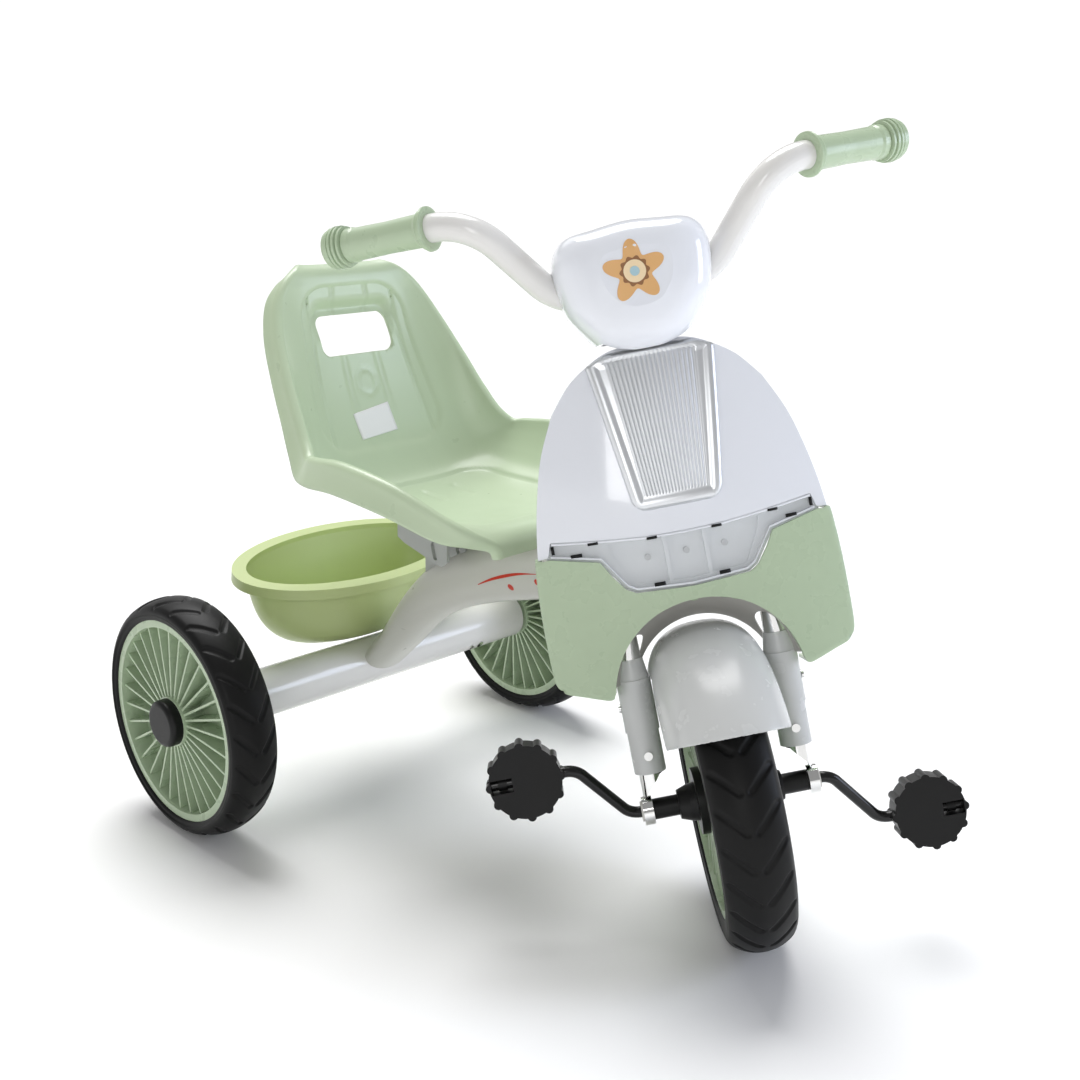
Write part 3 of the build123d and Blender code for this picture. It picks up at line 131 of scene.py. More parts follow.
finishes = {
    "beam_white": moulded("beam_white", (0.55, 0.55, 0.50), (0.52, 0.52, 0.47), 0.30, relief=0.05),
    "tube_white": moulded("tube_white", (0.74, 0.73, 0.71), (0.71, 0.70, 0.68), 0.20, relief=0.02, coat=0.3),
    "fairing_white": moulded(
        "fairing_white", (0.78, 0.80, 0.85), (0.765, 0.785, 0.835),
        0.12, relief=0.01, coat=0.6,
    ),
    "guard_white": moulded("guard_white", (0.57, 0.58, 0.575), (0.545, 0.555, 0.55), 0.26, relief=0.03),
    "sage_green": moulded("sage_green", (0.43, 0.53, 0.37), (0.405, 0.505, 0.345), 0.28, relief=0.03),
    "seat_green": moulded("seat_green", (0.50, 0.60, 0.42), (0.475, 0.575, 0.395), 0.30, relief=0.04),
    "basket_green": moulded("basket_green", (0.50, 0.585, 0.27), (0.475, 0.56, 0.25), 0.36, relief=0.03),
    "tyre_black": moulded(
        "tyre_black", (0.005, 0.005, 0.005), (0.009, 0.009, 0.009),
        0.45, relief=0.08, sheen=0.16,
    ),
    "trim_black": moulded(
        "trim_black", (0.006, 0.006, 0.006), (0.010, 0.010, 0.010),
        0.38, relief=0.06, sheen=0.22,
    ),
    "crank_black": moulded(
        "crank_black", (0.006, 0.006, 0.006), (0.010, 0.010, 0.010),
        0.22, relief=0.02, sheen=0.35,
    ),
    "steel": moulded("steel", (0.55, 0.55, 0.54), (0.48, 0.48, 0.47), 0.32, metallic=1.0, relief=0.03),
    "chrome": moulded(
        "chrome", (0.82, 0.82, 0.81), (0.78, 0.78, 0.77),
        0.08, metallic=1.0, relief=0.01, spread=0.03,
    ),
    "bracket_grey": moulded("bracket_grey", (0.42, 0.43, 0.42), (0.38, 0.39, 0.38), 0.45, relief=0.04),
    "silver_panel": moulded(
        "silver_panel", (0.70, 0.715, 0.735), (0.69, 0.705, 0.725),
        0.32, metallic=0.7, relief=0.0,
    ),
    "lens_clear": clear_plastic("lens_clear", (0.9, 0.93, 0.95), 0.04, 0.16),
    "lamp_white": moulded("lamp_white", (0.70, 0.72, 0.74), (0.67, 0.69, 0.71), 0.25, relief=0.02),
    "led_clear": clear_plastic("led_clear", (0.55, 0.56, 0.56), 0.10, 0.8),
    "board_green": moulded("board_green", (0.03, 0.14, 0.05), (0.02, 0.11, 0.04), 0.45, relief=0.05),
    # liner_grey is painted shade: the arch liner is the inside of the green fairing, and its darker grey stands
    # for the shadow inside the arch.
    "liner_grey": moulded("liner_grey", (0.42, 0.41, 0.385), (0.39, 0.38, 0.355), 0.45, relief=0.04),
    "bush_white": moulded("bush_white", (0.62, 0.61, 0.58), (0.58, 0.57, 0.54), 0.42, relief=0.04),
    "label_white": moulded("label_white", (0.80, 0.80, 0.79), (0.77, 0.77, 0.76), 0.35, relief=0.02),
    "print_red": moulded("print_red", (0.55, 0.035, 0.012), (0.50, 0.03, 0.01), 0.3, relief=0.02),
    "print_tan": moulded("print_tan", (0.66, 0.36, 0.13), (0.72, 0.42, 0.17), 0.3, relief=0.02),
    "print_brown": moulded("print_brown", (0.24, 0.10, 0.03), (0.28, 0.12, 0.04), 0.3, relief=0.02),
    "print_cream": moulded("print_cream", (0.80, 0.62, 0.38), (0.84, 0.67, 0.43), 0.3, relief=0.02),
    "print_blue": moulded("print_blue", (0.35, 0.52, 0.58), (0.38, 0.55, 0.61), 0.3, relief=0.02),
    "emblem": moulded("emblem", (0.70, 0.45, 0.18), (0.66, 0.42, 0.16), 0.30, relief=0.02),
}
for part in frame["record"]["subparts"]:
    mesh = nodes[part["node"]].data
    mesh.materials.clear()
    mesh.materials.append(finishes[part["material_slot"]])


# ---------------------------------------------------------------- mesh helpers
def grid_mesh(name, rows, closed_rows, closed_columns):
    """Quad mesh over rows of points; either direction can close on itself."""
    count, width = len(rows), len(rows[0])
    points = [point for row in rows for point in row]
    faces = []
    for i in range(count if closed_rows else count - 1):
        for j in range(width if closed_columns else width - 1):
            a, b = i * width + j, i * width + (j + 1) % width
            c, d = ((i + 1) % count) * width + (j + 1) % width, ((i + 1) % count) * width + j
            faces.append((a, b, c, d))
    mesh = bpy.data.meshes.new(name)
    mesh.from_pydata(points, [], faces)
    mesh.validate()
    return mesh


def finish_piece(name, mesh, body, replaced, finish):
    """Links a mesh as a piece that rides on a body and stands for its CAD nodes.

    The record has one material slot for everything printed.
    """
    piece = bpy.data.objects.new(name, mesh)
    bpy.context.scene.collection.objects.link(piece)
    mesh.materials.clear()
    mesh.materials.append(finishes[finish])
    for face in mesh.polygons:
        face.use_smooth = True
    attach(piece, body)
    if replaced:
        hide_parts(*replaced)
    return piece


def apply_modifiers(piece):
    """Bakes the piece's modifiers into its mesh."""
    graph = bpy.context.evaluated_depsgraph_get()
    graph.update()
    baked = bpy.data.meshes.new_from_object(piece.evaluated_get(graph))
    piece.modifiers.clear()
    piece.data = baked
    for face in piece.data.polygons:
        face.use_smooth = True


def softened(name, node, body, finish, voxel, rounds):
    """Finer copy of a CAD solid with its edges rounded off, ready for relief."""
    piece = finish_piece(name, nodes[node].data.copy(), body, [node], finish)
    remesh = piece.modifiers.new("remesh", "REMESH")
    remesh.mode = "VOXEL"
    remesh.voxel_size = voxel
    relax = piece.modifiers.new("relax", "SMOOTH")
    relax.factor = 0.5
    relax.iterations = rounds
    apply_modifiers(piece)
    return piece


def ramp(value, start, end):
    """Smooth step from 0 at start to 1 at end."""
    share = min(max((value - start) / (end - start), 0.0), 1.0)
    return share * share * (3 - 2 * share)


def groove(distance, width):
    """Rounded groove profile: 1 in its middle, 0 beyond its width."""
    return 1.0 - ramp(abs(distance), 0.0, width)


# ---------------------------------------------------------------- seat
def rounded_box_distance(x, z, half_width, half_height, radius):
    """Signed distance to a rounded rectangle centred on the origin."""
    dx = abs(x) - half_width + radius
    dz = abs(z) - half_height + radius
    outside = math.hypot(max(dx, 0.0), max(dz, 0.0))
    return outside + min(max(dx, dz), 0.0) - radius


def through(points, count):
    """Smooth curve through key values (Catmull-Rom), resampled evenly over its steps."""
    keys = [points[0], *points, points[-1]]
    samples = []
    for index in range(count):
        place_on = index * (len(points) - 1) / (count - 1)
        step = min(int(place_on), len(points) - 2)
        t = place_on - step
        p0, p1, p2, p3 = (Vector(keys[step + k]) for k in range(4))
        samples.append(
            0.5 * (
                2 * p1 + (p2 - p0) * t + (2 * p0 - 5 * p1 + 4 * p2 - p3) * t**2
                + (3 * p1 - p0 - 3 * p2 + p3) * t**3
            )
        )
    return samples


# Stations of the seat from the front lip over the pan and up the back: Y and Z of the middle, the
# direction of the sides in degrees above +Y, their height over the middle and their half width.
seat_run = [
    (-247.5, 284.0), (-246.5, 294.0), (-238.0, 301.0), (-221.0, 301.0), (-180.0, 296.0),
    (-125.0, 293.0), (-80.0, 295.0), (-48.0, 305.0), (-24.0, 332.0), (-6.0, 365.0), (9.0, 400.0),
    (21.0, 435.0), (28.5, 464.0), (31.0, 481.0), (34.5, 490.5), (42.0, 495.0),
]
seat_sides = [
    (178.0, 1.0, 62.0), (150.0, 2.0, 68.0), (116.0, 5.0, 86.0), (94.0, 18.0, 103.0),
    (90.0, 46.0, 123.0), (90.0, 57.0, 128.0), (98.0, 53.0, 126.5), (120.0, 47.0, 121.0),
    (146.0, 41.0, 114.5), (161.0, 35.0, 109.0), (168.0, 27.0, 103.0), (170.0, 16.0, 94.5),
    (169.0, 7.5, 83.0), (160.0, 3.5, 70.0), (134.0, 2.0, 57.0), (100.0, 1.0, 46.0),
]
seat_skirts = [
    (4.0, 2.0), (6.0, 3.0), (10.0, 5.0), (18.0, 7.0), (23.0, 8.5), (24.0, 9.0), (23.0, 9.0), (21.0, 8.5),
    (19.0, 7.5), (17.0, 6.5), (16.0, 6.0), (15.0, 5.5), (13.0, 5.0), (10.0, 4.0), (6.0, 3.0), (3.0, 2.0),
]
side_shape = [(0.0, 0.0), (0.3, 0.012), (0.55, 0.08), (0.74, 0.27), (0.86, 0.52), (0.95, 0.79), (1.0, 1.0)]
seat_slot = (42.0, 18.0, 9.5)
seat_slot_z = 433.0


def seat_relief(x, y, z):
    """How far the seat's face is sunk, in millimetres, at a point of it."""
    depth = 0.0
    if z > 318 and y > -60:
        half = 76 - 13 * ramp(z, 330, 462)
        panel = rounded_box_distance(x, z - 405, half, 76, 34)
        depth += 1.6 * ramp(-panel, 0.0, 2.6)
        inside = ramp(-panel, 1.0, 4.0)
        for line in (-20.0, 20.0):
            depth += 1.3 * inside * groove(x - line, 2.3)
        outer = 60 - 10 * ramp(z, 335, 460)
        for line in (-outer, outer):
            depth += 1.3 * inside * groove(x - line, 2.3)
        depth += 1.2 * groove(math.hypot(x, z - 389) - 11.0, 1.9)
        scoop = rounded_box_distance(x, z - 441, 53, 28, 20)
        depth += 7.0 * ramp(-scoop, 0.0, 12.0) * ramp(z, 424, 462)
    if z < 330 and y < -40:
        pan = rounded_box_distance(x, y + 140, 86, 82, 30)
        depth += 1.8 * ramp(-pan, 0.0, 3.0)
        for line in (-38.0, 0.0, 38.0):
            rib = rounded_box_distance(x - line, y + 92, 3.5, 17, 3.4)
            depth += 1.2 * ramp(-rib, 0.0, 1.4)
    return depth


def build_seat():
    """Bucket seat: recessed and grooved back, scooped hand slot, round boss and a stepped pan."""
    rows_count = 190
    run = through(seat_run, rows_count)
    sides = through(seat_sides, rows_count)
    skirts = through(seat_skirts, rows_count)
    shape = through(side_shape, 64)
    rows = []
    for middle, (angle, rise, half), (depth, flare) in zip(run, sides, skirts):
        up = Vector((0, math.cos(math.radians(angle)), math.sin(math.radians(angle))))
        lip = 3.2
        half_row = [(half * x, rise * h, True) for x, h in shape]
        for turn in range(1, 7):
            swing = math.pi * 0.5 * turn / 6
            half_row.append((half + lip * math.sin(swing) * 1.2, rise - lip * (1 - math.cos(swing)), False))
        edge = half + lip * 1.2
        for step in range(1, 9):
            share = step / 8
            half_row.append((edge + (flare - lip) * share**1.4, rise - lip - (depth - lip) * share, False))
        row = []
        for side in (-1, 1):
            part = half_row[::-1] if side < 0 else half_row[1:]
            for across, height, inner in part:
                point = Vector((side * across, middle[0], middle[1])) + up * height
                if inner:
                    normal = up * -1.0
                    point += normal * seat_relief(point.x, point.y, point.z)
                row.append(saddle(*point))
        rows.append(row)
    mesh = grid_mesh("seat_shell", rows, False, False)
    seat = finish_piece("seat_shell", mesh, "frame", ["seat"], "seat_green")
    thick = seat.modifiers.new("thick", "SOLIDIFY")
    thick.thickness = 3.2 * MM
    thick.offset = 1.0
    cutter_mesh = bpy.data.meshes.new("slot_cutter")
    cutter_shape = bmesh.new()
    half_width, half_height, radius = seat_slot
    outline = []
    for corner in range(4):
        for step in range(9):
            turn = math.pi / 2 * (corner + step / 8)
            centre_x = (half_width - radius) * (1 if corner in (0, 3) else -1)
            centre_z = (half_height - radius) * (1 if corner in (0, 1) else -1)
            outline.append((centre_x + radius * math.cos(turn), centre_z + radius * math.sin(turn)))
    near = [cutter_shape.verts.new(saddle(x, -60, seat_slot_z + z)) for x, z in outline]
    far = [cutter_shape.verts.new(saddle(x, 80, seat_slot_z + z)) for x, z in outline]
    cutter_shape.faces.new(near[::-1])
    cutter_shape.faces.new(far)
    for index in range(len(outline)):
        after = (index + 1) % len(outline)
        cutter_shape.faces.new((near[index], near[after], far[after], far[index]))
    bmesh.ops.recalc_face_normals(cutter_shape, faces=cutter_shape.faces)
    cutter_shape.to_mesh(cutter_mesh)
    cutter_shape.free()
    cutter = bpy.data.objects.new("slot_cutter", cutter_mesh)
    bpy.context.scene.collection.objects.link(cutter)
    cut = seat.modifiers.new("cut", "BOOLEAN")
    cut.operation = "DIFFERENCE"
    cut.object = cutter
    cut.solver = "EXACT"
    apply_modifiers(seat)
    bpy.data.objects.remove(cutter)
    return seat


seat = build_seat()

# ---------------------------------------------------------------- tyres
def tyre_profile(half, radius, drop, bead, rows):
    """Cross-section of a tyre from bead to bead: (across, radius), with rounded shoulders."""
    shoulder = 5.0
    crown = ((half**2) + drop**2) / (2 * drop)
    points = [(-half + 3.5, bead - 0.2), (-half + 1.4, bead + 0.6), (-half + 0.9, bead + 2.4)]
    points.append((-half + 0.2, radius - drop - shoulder))
    for step in range(rows + 1):
        across = -half + 2 * half * step / rows
        rise = radius - crown + math.sqrt(crown**2 - across**2)
        edge = max(abs(across) - (half - shoulder), 0.0)
        rise -= shoulder - math.sqrt(max(shoulder**2 - edge**2, 0.0))
        points.append((across, rise))
    points.append((half - 0.2, radius - drop - shoulder))
    points += [(half - 0.9, bead + 2.4), (half - 1.4, bead + 0.6), (half - 3.5, bead - 0.2)]
    return points


def build_tyre(name, node, body, hub, axle, half, radius, drop, slots):
    """Crowned tyre with a V of round-ended slots moulded into its tread."""
    bead = 92.9
    around = 24 * slots
    pitch = 2 * math.pi * radius / slots
    ahead = axle.cross(Vector((0, 0, 1))).normalized()
    upward = ahead.cross(axle).normalized()
    profile = tyre_profile(half, radius, drop, bead, 52)
    inner_end, outer_end = Vector((0.16 * half, 0.0)), Vector((0.80 * half, 0.62 * pitch))
    run = outer_end - inner_end
    rows = []
    for step in range(around):
        angle = 2 * math.pi * step / around
        outward = ahead * math.cos(angle) + upward * math.sin(angle)
        row = []
        for across, rise in profile:
            cut = 0.0
            if rise > radius - drop - 1.0:
                for shift in (-1, 0, 1):
                    spot = Vector((abs(across), (angle * radius) % pitch + shift * pitch)) - inner_end
                    along = min(max(spot.dot(run) / run.length_squared, 0.0), 1.0)
                    distance = (spot - run * along).length
                    cut = max(cut, 1.0 - ramp(distance, 1.7, 2.9))
            row.append(hub + (axle * across + outward * (rise - 1.5 * cut)) * MM)
        rows.append(row)
    return finish_piece(name, grid_mesh(name, rows, True, False), body, [node], "tyre_black")


# Half width, radius, drop from the crown to the shoulders and number of slots around.
front_tyre_size = (27.1, 121.4, 11.7, 26)
rear_tyre_size = (23.2, 110.0, 7.0, 24)
build_tyre("front_tyre_tread", "front_tyre", "front_wheel", front_hub, steer_side, *front_tyre_size)
for side, name in ((1, "left"), (-1, "right")):
    hub = Vector((side * rear_hub.x, rear_hub.y, rear_hub.z))
    build_tyre(
        f"rear_tyre_tread_{name}", f"rear_tyre_{name}", f"rear_wheel_{name}", hub, Vector((1, 0, 0)),
        *rear_tyre_size,
    )

# ---------------------------------------------------------------- fairing panels
skin_front = -25.0
skin_radius = 377.4
rim_back = 14.0


def skin(across, up, sunk=0.0):
    """Point on the fairing's front skin, or sunk below it by so many millimetres."""
    sweep = skin_radius - math.sqrt(skin_radius**2 - across**2)
    lean = 12.0 * (max(up - 230.0, 0.0) / 120.0) ** 2
    return place(across, skin_front + sweep + lean + sunk, up)


def resample(points, count):
    """Evenly spaced points along a run of straight pieces."""
    lengths = [0.0]
    for before, after in zip(points, points[1:]):
        lengths.append(lengths[-1] + math.dist(before, after))
    samples = []
    index = 0
    for step in range(count):
        target = lengths[-1] * step / (count - 1)
        while index < len(points) - 2 and lengths[index + 1] < target:
            index += 1
        share = (target - lengths[index]) / max(lengths[index + 1] - lengths[index], 1e-9)
        share = min(max(share, 0.0), 1.0)
        (x0, up0), (x1, up1) = points[index], points[index + 1]
        samples.append((x0 + (x1 - x0) * share, up0 + (up1 - up0) * share))
    return samples


def smooth_outline(points, count):
    """The points of an outline joined by a smooth curve."""
    return [tuple(point) for point in through(points, count)]


def mirrored(points):
    """Points from the right-hand side to the middle, continued to the left."""
    return points + [(-x, y) for x, y in reversed(points) if x > 0]


def build_panel(name, node, finish, bottom, top, side, skirt, thickness, edge):
    """Moulded panel on the skin between four edges, right to left, with its outer edges turned back.

    side runs up the right-hand edge; skirt(across, up) says where an edge turns back to the rim.
    """
    columns, levels = 150, 64
    low, high = resample(bottom, columns), resample(top, columns)
    right = resample(side, levels)
    rows = []
    for v_step, (side_x, side_up) in enumerate(right):
        v = v_step / (levels - 1)
        row = []
        for u_step in range(columns):
            u = u_step / (columns - 1)
            ruled_x = low[u_step][0] * (1 - v) + high[u_step][0] * v
            ruled_up = low[u_step][1] * (1 - v) + high[u_step][1] * v
            corner_x = low[0][0] * (1 - v) + high[0][0] * v
            corner_up = low[0][1] * (1 - v) + high[0][1] * v
            row.append((ruled_x + (side_x - corner_x) * (1 - 2 * u), ruled_up + side_up - corner_up))
        rows.append(row)
    shape = bmesh.new()
    grid = [[shape.verts.new(skin(x, up)) for x, up in row] for row in rows]
    spots = {vert: spot for verts, row in zip(grid, rows) for vert, spot in zip(verts, row)}
    for i in range(levels - 1):
        for j in range(columns - 1):
            shape.faces.new((grid[i][j], grid[i][j + 1], grid[i + 1][j + 1], grid[i + 1][j]))
    rims = [e for e in shape.edges if e.is_boundary]
    turned = [e for e in rims if all(skirt(*spots[vert]) for vert in e.verts)]
    if turned:
        result = bmesh.ops.extrude_edge_only(shape, edges=turned)
        for vert in (item for item in result["geom"] if isinstance(item, bmesh.types.BMVert)):
            offset = vert.co - front_hub
            vert.co += steer_back * (rim_back * MM - offset.dot(steer_back))
    bmesh.ops.recalc_face_normals(shape, faces=shape.faces)
    shape.faces.ensure_lookup_table()
    if shape.faces[0].normal.dot(steer_back) > 0:
        bmesh.ops.reverse_faces(shape, faces=shape.faces)
    mesh = bpy.data.meshes.new(name)
    shape.to_mesh(mesh)
    shape.free()
    panel = finish_piece(name, mesh, "steering", [node], finish)
    thick = panel.modifiers.new("thick", "SOLIDIFY")
    thick.thickness = thickness * MM
    thick.offset = -1.0
    round_off = panel.modifiers.new("round", "BEVEL")
    round_off.width = edge * MM
    round_off.segments = 3
    round_off.limit_method = "ANGLE"
    round_off.angle_limit = math.radians(35)
    apply_modifiers(panel)


outline_side = smooth_outline(
    [
        (112.6, 109), (116.4, 116), (117.2, 140), (116.8, 170), (114.9, 200), (111, 230), (104.8, 260),
        (96, 290), (82, 319.5),
    ],
    120,
)
joint_up = 211.0
lower_side = [(x, up) for x, up in outline_side if up <= joint_up]
upper_side = [(x, up) for x, up in outline_side if up > joint_up]
outline_top = mirrored(smooth_outline([(82, 319.5), (66, 338.5), (50, 350), (30, 359), (0, 362)], 60))
lens_top = [(101.2, 222.8), (68, 219), (30, 215.6), (0, 215)]
lens_bottom = [(105, 211.6), (66.5, 203.8), (57, 190), (50, 180), (43.5, 176.2), (0, 173.4)]
joint_line = [(66.9, 202.6), (59.6, 190), (51, 178.6), (44, 174.6), (0, 172.4)]
arch_centre_up = 88.0
arch_radius = 74.5
arch_points = [
    (arch_radius * math.cos(math.radians(turn)), arch_centre_up + arch_radius * math.sin(math.radians(turn)))
    for turn in [7 + 83 * step / 40 for step in range(41)]
]


def on_outline(across, up):
    """Whether a point of a panel's edge is on the fairing's outer outline."""
    if up < 130:
        return math.hypot(across, up - arch_centre_up) > arch_radius + 1.2
    return abs(across) > 110 or up > 235


panel_wall = 2.5
panel_edge = 0.8


def build_fairing():
    """Glossy upper shell and green lower shell, which meet along the headlamp."""
    seam = 0.25
    upper_bottom = [
        upper_side[0], (105.3, joint_up + 0.9 + seam), (101.9, 223.2 + seam),
        *[(x, up + seam) for x, up in lens_top[1:]],
    ]
    build_panel(
        "fairing_upper_shell", "fairing_upper", "fairing_white", mirrored(upper_bottom), outline_top,
        upper_side, on_outline, panel_wall, panel_edge,
    )
    lower_top = [lower_side[-1], (105, joint_up - seam), *[(x, up - seam) for x, up in joint_line]]
    foot_points = [(112.6, 109), (109.5, 106.2), (100, 103.4), (84, 98.4), (79, 97.2), (75.6, 97.4)]
    lower_bottom = [*smooth_outline(foot_points, 30), *arch_points[1:]]
    build_panel(
        "fairing_lower_shell", "fairing_lower", "sage_green", mirrored(lower_bottom),
        mirrored(lower_top), lower_side, on_outline, panel_wall, panel_edge,
    )


build_fairing()


def build_lens():
    """Clear band over the headlamp and a raised border along its long edges, pale and opaque as a painted
    highlight of the clear lens edge.
    """
    right = [lens_bottom[0], (103.1, 217.2), lens_top[0]]
    lens_wall, lens_edge = 1.6, 0.5
    build_panel(
        "lens_band", "lamp_lens", "lens_clear", mirrored(lens_bottom), mirrored(lens_top), right,
        lambda across, up: False, lens_wall, lens_edge,
    )
    width = 1.7
    upper_edge = [(x, up - width) for x, up in mirrored(lens_top)]
    lower_edge = [(x * 0.985, up + width) for x, up in mirrored(lens_bottom)]
    edges = (("lens_highlight_border_top", upper_edge, width), ("lens_highlight_border_bottom", lower_edge, -width))
    for name, run, reach in edges:
        rows = []
        for x, up in resample(run, 160):
            shares = (0, 0.25, 0.5, 0.75, 1)
            rows.append([skin(x, up + reach * t, -0.35 - 0.5 * math.sin(math.pi * t)) for t in shares])
        # The border strips are opaque fairing white: a painted highlight standing in for the bright lines on the
        # clear lens edge.
        finish_piece(name, grid_mesh(name, rows, False, False), "steering", [], "fairing_white")


build_lens()


def build_clips():
    """Dark stepped clips that hold the lens: middle across and up, half width and half height."""
    shape = bmesh.new()
    clip_spots = [
        (101.0, 217.2, 1.0, 3.0), (83.8, 210.2, 4.2, 1.1), (69.9, 217.4, 3.8, 0.9),
        (25.0, 214.0, 3.8, 0.9), (25.2, 178.0, 4.0, 1.2),
    ]
    square = ((-1, -1), (1, -1), (1, 1), (-1, 1))
    faces = [(0, 1, 2, 3), (7, 6, 5, 4), (0, 4, 5, 1), (1, 5, 6, 2), (2, 6, 7, 3), (3, 7, 4, 0)]
    for side in (1, -1):
        for across, up, half_width, half_height in clip_spots:
            for layer, grow in ((-1.15, 0.0), (-0.9, 0.25)):
                wide, high = half_width + grow, half_height + grow
                corners = []
                for depth in (layer, layer + 1.2):
                    for x, y in square:
                        point = skin(side * across + x * wide, up + y * high, depth)
                        corners.append(shape.verts.new(point))
                for face in faces:
                    shape.faces.new([corners[index] for index in face])
    bmesh.ops.recalc_face_normals(shape, faces=shape.faces)
    bmesh.ops.bevel(shape, geom=list(shape.edges), offset=0.18 * MM, segments=2, affect="EDGES")
    mesh = bpy.data.meshes.new("lens_clips")
    shape.to_mesh(mesh)
    shape.free()
    finish_piece("lens_clips", mesh, "steering", [], "trim_black")


build_clips()


def build_grille():
    """Silver panel: a rounded frame around close ribs that converge downwards."""
    rows_count, columns, ribs = 120, 281, 20
    low, high, corner = 235.6, 356.6, 9.5
    foot_half, top_half, top_start = 33.4, 49.4, 350.0
    bed_low, bed_high, bed_half, bed_spread = 246.0, 353.0, 24.8, 9.2 / 90.0
    frame_rise, bed_rise, rib_rise = 3.2, 1.1, 1.2
    rows = []
    for i in range(rows_count):
        up = low + (high - low) * i / (rows_count - 1)
        half = foot_half + (top_half - foot_half) * min((up - low) / (top_start - low), 1)
        rounded = max(low + corner - up, 0.0)
        half -= corner - math.sqrt(max(corner**2 - rounded**2, 0.0))
        half -= max(up - top_start, 0.0) * 2.7
        zone = bed_half + bed_spread * (up - bed_low)
        row = []
        for j in range(columns):
            share = 2 * j / (columns - 1) - 1
            across = share * half
            edge = min(half - abs(across), up - low + 0.001, (high - up) * 0.9 + 0.001)
            rise = frame_rise * math.sqrt(max(1 - (1 - min(edge / 3.6, 1.0)) ** 2, 0.0))
            rise -= 1.0 * ramp(edge, 4.5, 9.5)
            inside = min(zone - abs(across), up - bed_low, bed_high - up)
            dip = ramp(inside, 0.0, 1.6)
            wave = abs(math.sin(math.pi * ribs * (across / zone + 1) / 2)) ** 0.7
            rise = rise * (1 - dip) + (bed_rise + rib_rise * wave) * dip
            row.append(skin(across, up, -rise))
        rows.append(row)
    mesh = grid_mesh("grille_ribbed", rows, False, False)
    grille = finish_piece("grille_ribbed", mesh, "steering", ["grille_panel"], "silver_panel")
    thick = grille.modifiers.new("thick", "SOLIDIFY")
    thick.thickness = 0.8 * MM
    thick.offset = 1.0
    apply_modifiers(grille)


build_grille()

softened("mudguard_shell", "front_mudguard", "steering", "guard_white", 1.3 * MM, 4)


# ---------------------------------------------------------------- labels and emblem
def laid_on(target, origins, direction, rise):
    """Points where rays meet an object's surface, lifted off it by so many millimetres."""
    tree = BVHTree.FromObject(target, bpy.context.evaluated_depsgraph_get())
    turn_in = target.matrix_world.inverted()
    heading = (turn_in.to_3x3() @ direction).normalized()
    points = []
    for origin in origins:
        spot, normal, _, _ = tree.ray_cast(turn_in @ origin, heading)
        if normal.dot(heading) > 0:
            normal = -normal
        points.append(target.matrix_world @ (spot + normal * rise * MM))
    return points


def build_label():
    """Blank label between four corners, laid along the face of the seat's back."""
    spots = ((-26.9, 362.9), (17.2, 369.2), (19, 343.9), (-25.4, 339.9))
    corners = [saddle(x, -60, z) for x, z in spots]
    steps = 14
    rows = []
    for i in range(steps + 1):
        left = corners[0].lerp(corners[3], i / steps)
        right = corners[1].lerp(corners[2], i / steps)
        origins = [left.lerp(right, j / steps) for j in range(steps + 1)]
        rows.append(laid_on(seat, origins, Vector((0, 1, 0)), 0.25))
    mesh = grid_mesh("seat_label", rows, False, False)
    label = finish_piece("seat_label", mesh, "frame", [], "label_white")
    thick = label.modifiers.new("thick", "SOLIDIFY")
    thick.thickness = 0.2 * MM
    thick.offset = 0.0
    apply_modifiers(label)


build_label()


def build_swoosh():
    """Thin red stroke and two round dots on each side of the beam."""
    stroke = through([(-182, 236.6), (-198, 245.0), (-216, 252.6), (-236, 259.2), (-262, 264.6)], 24)
    dots = [(-221.0, 243.0), (-254.0, 255.5)]
    dot_points = 20
    beam = nodes["main_beam"]
    for side, name in ((-1, "right"), (1, "left")):
        x = side * 90.0
        inwards = Vector((-side, 0, 0))
        rows = []
        for index, (y, z) in enumerate(stroke):
            width = 0.35 + 1.5 * math.sin(math.pi * min(index / 20, 1.0)) * (0.6 + 0.4 * index / 23)
            origins = [saddle(x, y, z + offset) for offset in (-width, 0.0, width)]
            rows.append(laid_on(beam, origins, inwards, 0.2))
        swoosh = f"beam_swoosh_{name}"
        finish_piece(swoosh, grid_mesh(swoosh, rows, False, False), "frame", [], "print_red")
        for number, (y, z) in enumerate(dots):
            rings = []
            for radius in (0.0, 1.6, 3.1):
                turns = [step * math.tau / dot_points for step in range(dot_points)]
                ring = [saddle(x, y + radius * math.cos(t), z + radius * math.sin(t)) for t in turns]
                rings.append(laid_on(beam, ring, inwards, 0.2))
            dot = f"beam_dot_{name}_{number}"
            finish_piece(dot, grid_mesh(dot, rings, False, True), "frame", [], "print_red")


build_swoosh()


emblem_across = -2.0
emblem_up = 412.0


def emblem_sheet(name, replaced, finish, rise, outline):
    """Printed flat shape on the bar cover; outline(turn) gives its radius in millimetres."""
    rings = []
    for share in (0.0, 0.25, 0.5, 0.75, 1.0):
        ring = []
        for step in range(120):
            turn = math.tau * step / 120
            radius = outline(turn) * share
            across, up = radius * math.cos(turn), radius * math.sin(turn)
            ring.append(place(emblem_across + across, -90.0, emblem_up + up))
        rings.append(laid_on(nodes["bar_cover_front"], ring, steer_back, rise))
    finish_piece(name, grid_mesh(name, rings, False, True), "steering", replaced, finish)


emblem_sheet(
    "emblem_petals", ["emblem_disc"], "print_tan", 0.25,
    lambda turn: 18.5 + 5.5 * math.cos(5 * turn - 1.57),
)
emblem_sheet("emblem_ring", [], "print_brown", 0.45, lambda turn: 10.6 + 0.9 * math.cos(10 * turn))
emblem_sheet("emblem_heart", [], "print_cream", 0.65, lambda turn: 8.4)
emblem_sheet("emblem_dot", [], "print_blue", 0.85, lambda turn: 3.6)

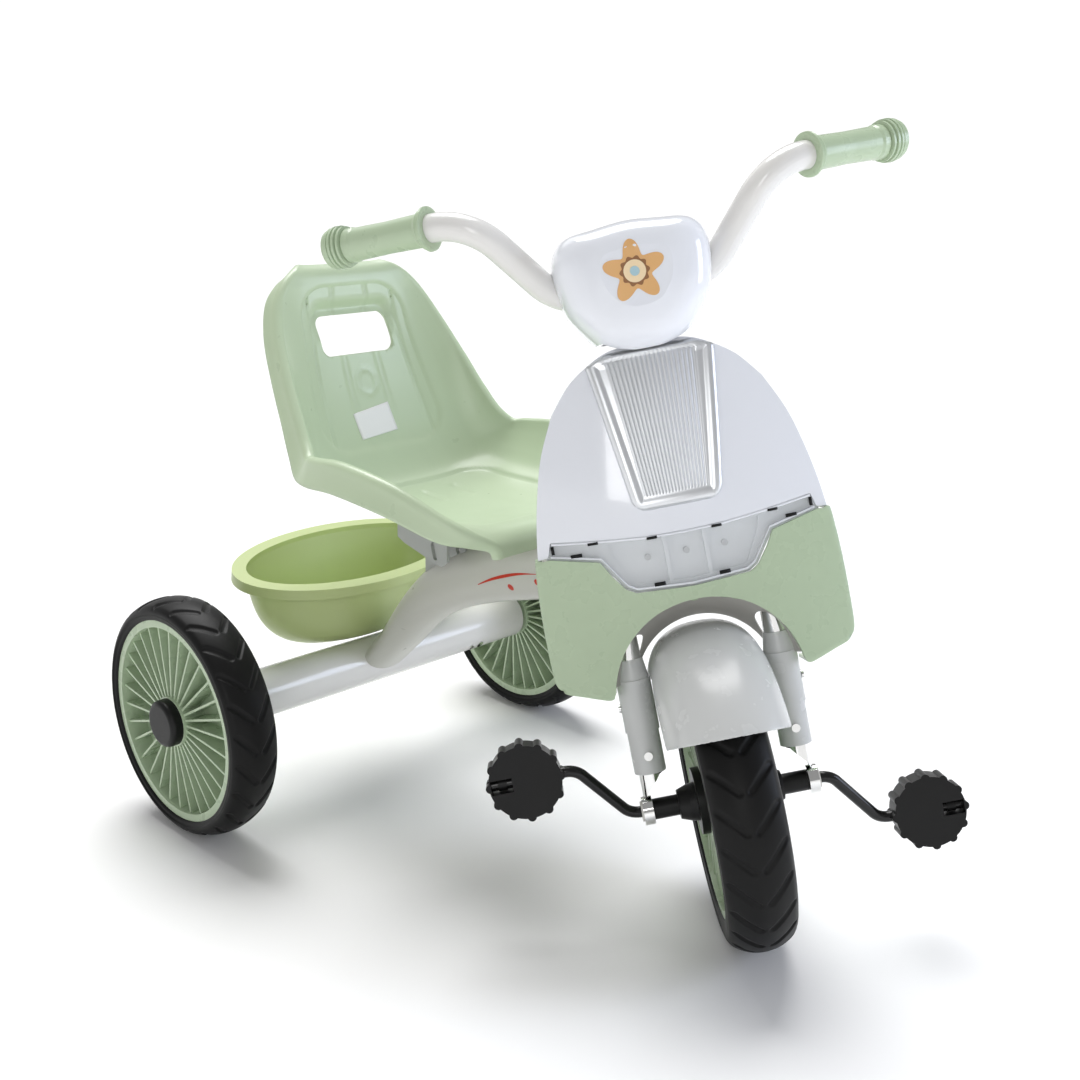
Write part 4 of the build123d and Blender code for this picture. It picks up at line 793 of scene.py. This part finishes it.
# ---------------------------------------------------------------- floor, light and camera
floor_half = 40.0
floor_mesh = bpy.data.meshes.new("floor")
floor_shape = bmesh.new()
bmesh.ops.create_grid(floor_shape, x_segments=8, y_segments=8, size=floor_half)
floor_shape.to_mesh(floor_mesh)
floor_shape.free()
floor = bpy.data.objects.new("floor", floor_mesh)
bpy.context.scene.collection.objects.link(floor)
floor_look = moulded("floor_pale", (0.9, 0.9, 0.9), (0.89, 0.89, 0.89), 0.9, relief=0.0)
floor_mesh.materials.append(floor_look)

bpy.context.scene.view_settings.view_transform = "Standard"
world = bpy.data.worlds.new("studio")
world.use_nodes = True
sky = world.node_tree
sky_direction = sky.nodes.new("ShaderNodeTexCoord")
sky_height = sky.nodes.new("ShaderNodeSeparateXYZ")
sky.links.new(sky_direction.outputs["Generated"], sky_height.inputs["Vector"])
sky_fade = sky.nodes.new("ShaderNodeMapRange")
sky_fade.interpolation_type = "SMOOTHSTEP"
sky_fade.inputs["From Min"].default_value = 0.11
sky_fade.inputs["From Max"].default_value = 0.22
sky_fade.inputs["To Min"].default_value = 1.05
sky_fade.inputs["To Max"].default_value = 0.34
sky.links.new(sky_height.outputs["Z"], sky_fade.inputs["Value"])
sky.links.new(sky_fade.outputs["Result"], sky.nodes["Background"].inputs["Strength"])
sky.nodes["Background"].inputs["Color"].default_value = (1.0, 1.0, 1.0, 1.0)
bpy.context.scene.world = world

sun_data = bpy.data.lights.new("overhead", "SUN")
sun_data.energy = 3.0
sun_data.angle = math.radians(42)
sun = bpy.data.objects.new("overhead", sun_data)
sun.rotation_euler = (math.radians(-22), math.radians(14), 0)
bpy.context.scene.collection.objects.link(sun)

middle = Vector((0, 0, 0.28))


def soft_light(name, position, size, power, tint=(1, 1, 1)):
    """Rectangular area light that faces the tricycle."""
    lamp = bpy.data.lights.new(name, "AREA")
    lamp.shape = "RECTANGLE"
    lamp.size, lamp.size_y = size
    lamp.energy = power
    lamp.color = tint
    light = bpy.data.objects.new(name, lamp)
    light.location = position
    light.rotation_euler = (middle - Vector(position)).to_track_quat("-Z", "Y").to_euler()
    bpy.context.scene.collection.objects.link(light)


soft_light("key", (-2.0, -1.6, 1.3), (0.5, 1.1), 9)
soft_light("fill", (1.5, -1.9, 1.0), (0.8, 1.2), 20, (0.72, 0.80, 1.0))
soft_light("rim", (0.6, 2.2, 2.0), (1.6, 1.2), 5)

camera_yaw = math.radians(-45.3)
camera_pitch = math.radians(16.43)
camera_roll = math.radians(0.71)
level_reach = math.cos(camera_pitch)
look_back = Vector(
    (math.sin(camera_yaw) * level_reach, -math.cos(camera_yaw) * level_reach, math.sin(camera_pitch))
)
level_right = Vector((math.cos(camera_yaw), math.sin(camera_yaw), 0))
level_up = look_back.cross(level_right)
camera_right = level_right * math.cos(camera_roll) + level_up * math.sin(camera_roll)
camera_up = level_up * math.cos(camera_roll) - level_right * math.sin(camera_roll)
camera_data = bpy.data.cameras.new("camera")
camera_data.lens = 46.57
camera_data.sensor_width = 36.0
camera = bpy.data.objects.new("camera", camera_data)
turn = Matrix((camera_right, camera_up, look_back)).transposed().to_4x4()
camera.matrix_world = Matrix.Translation(saddle(-820.0, -1042.7, 622.9)) @ turn
bpy.context.scene.collection.objects.link(camera)
bpy.context.scene.camera = camera
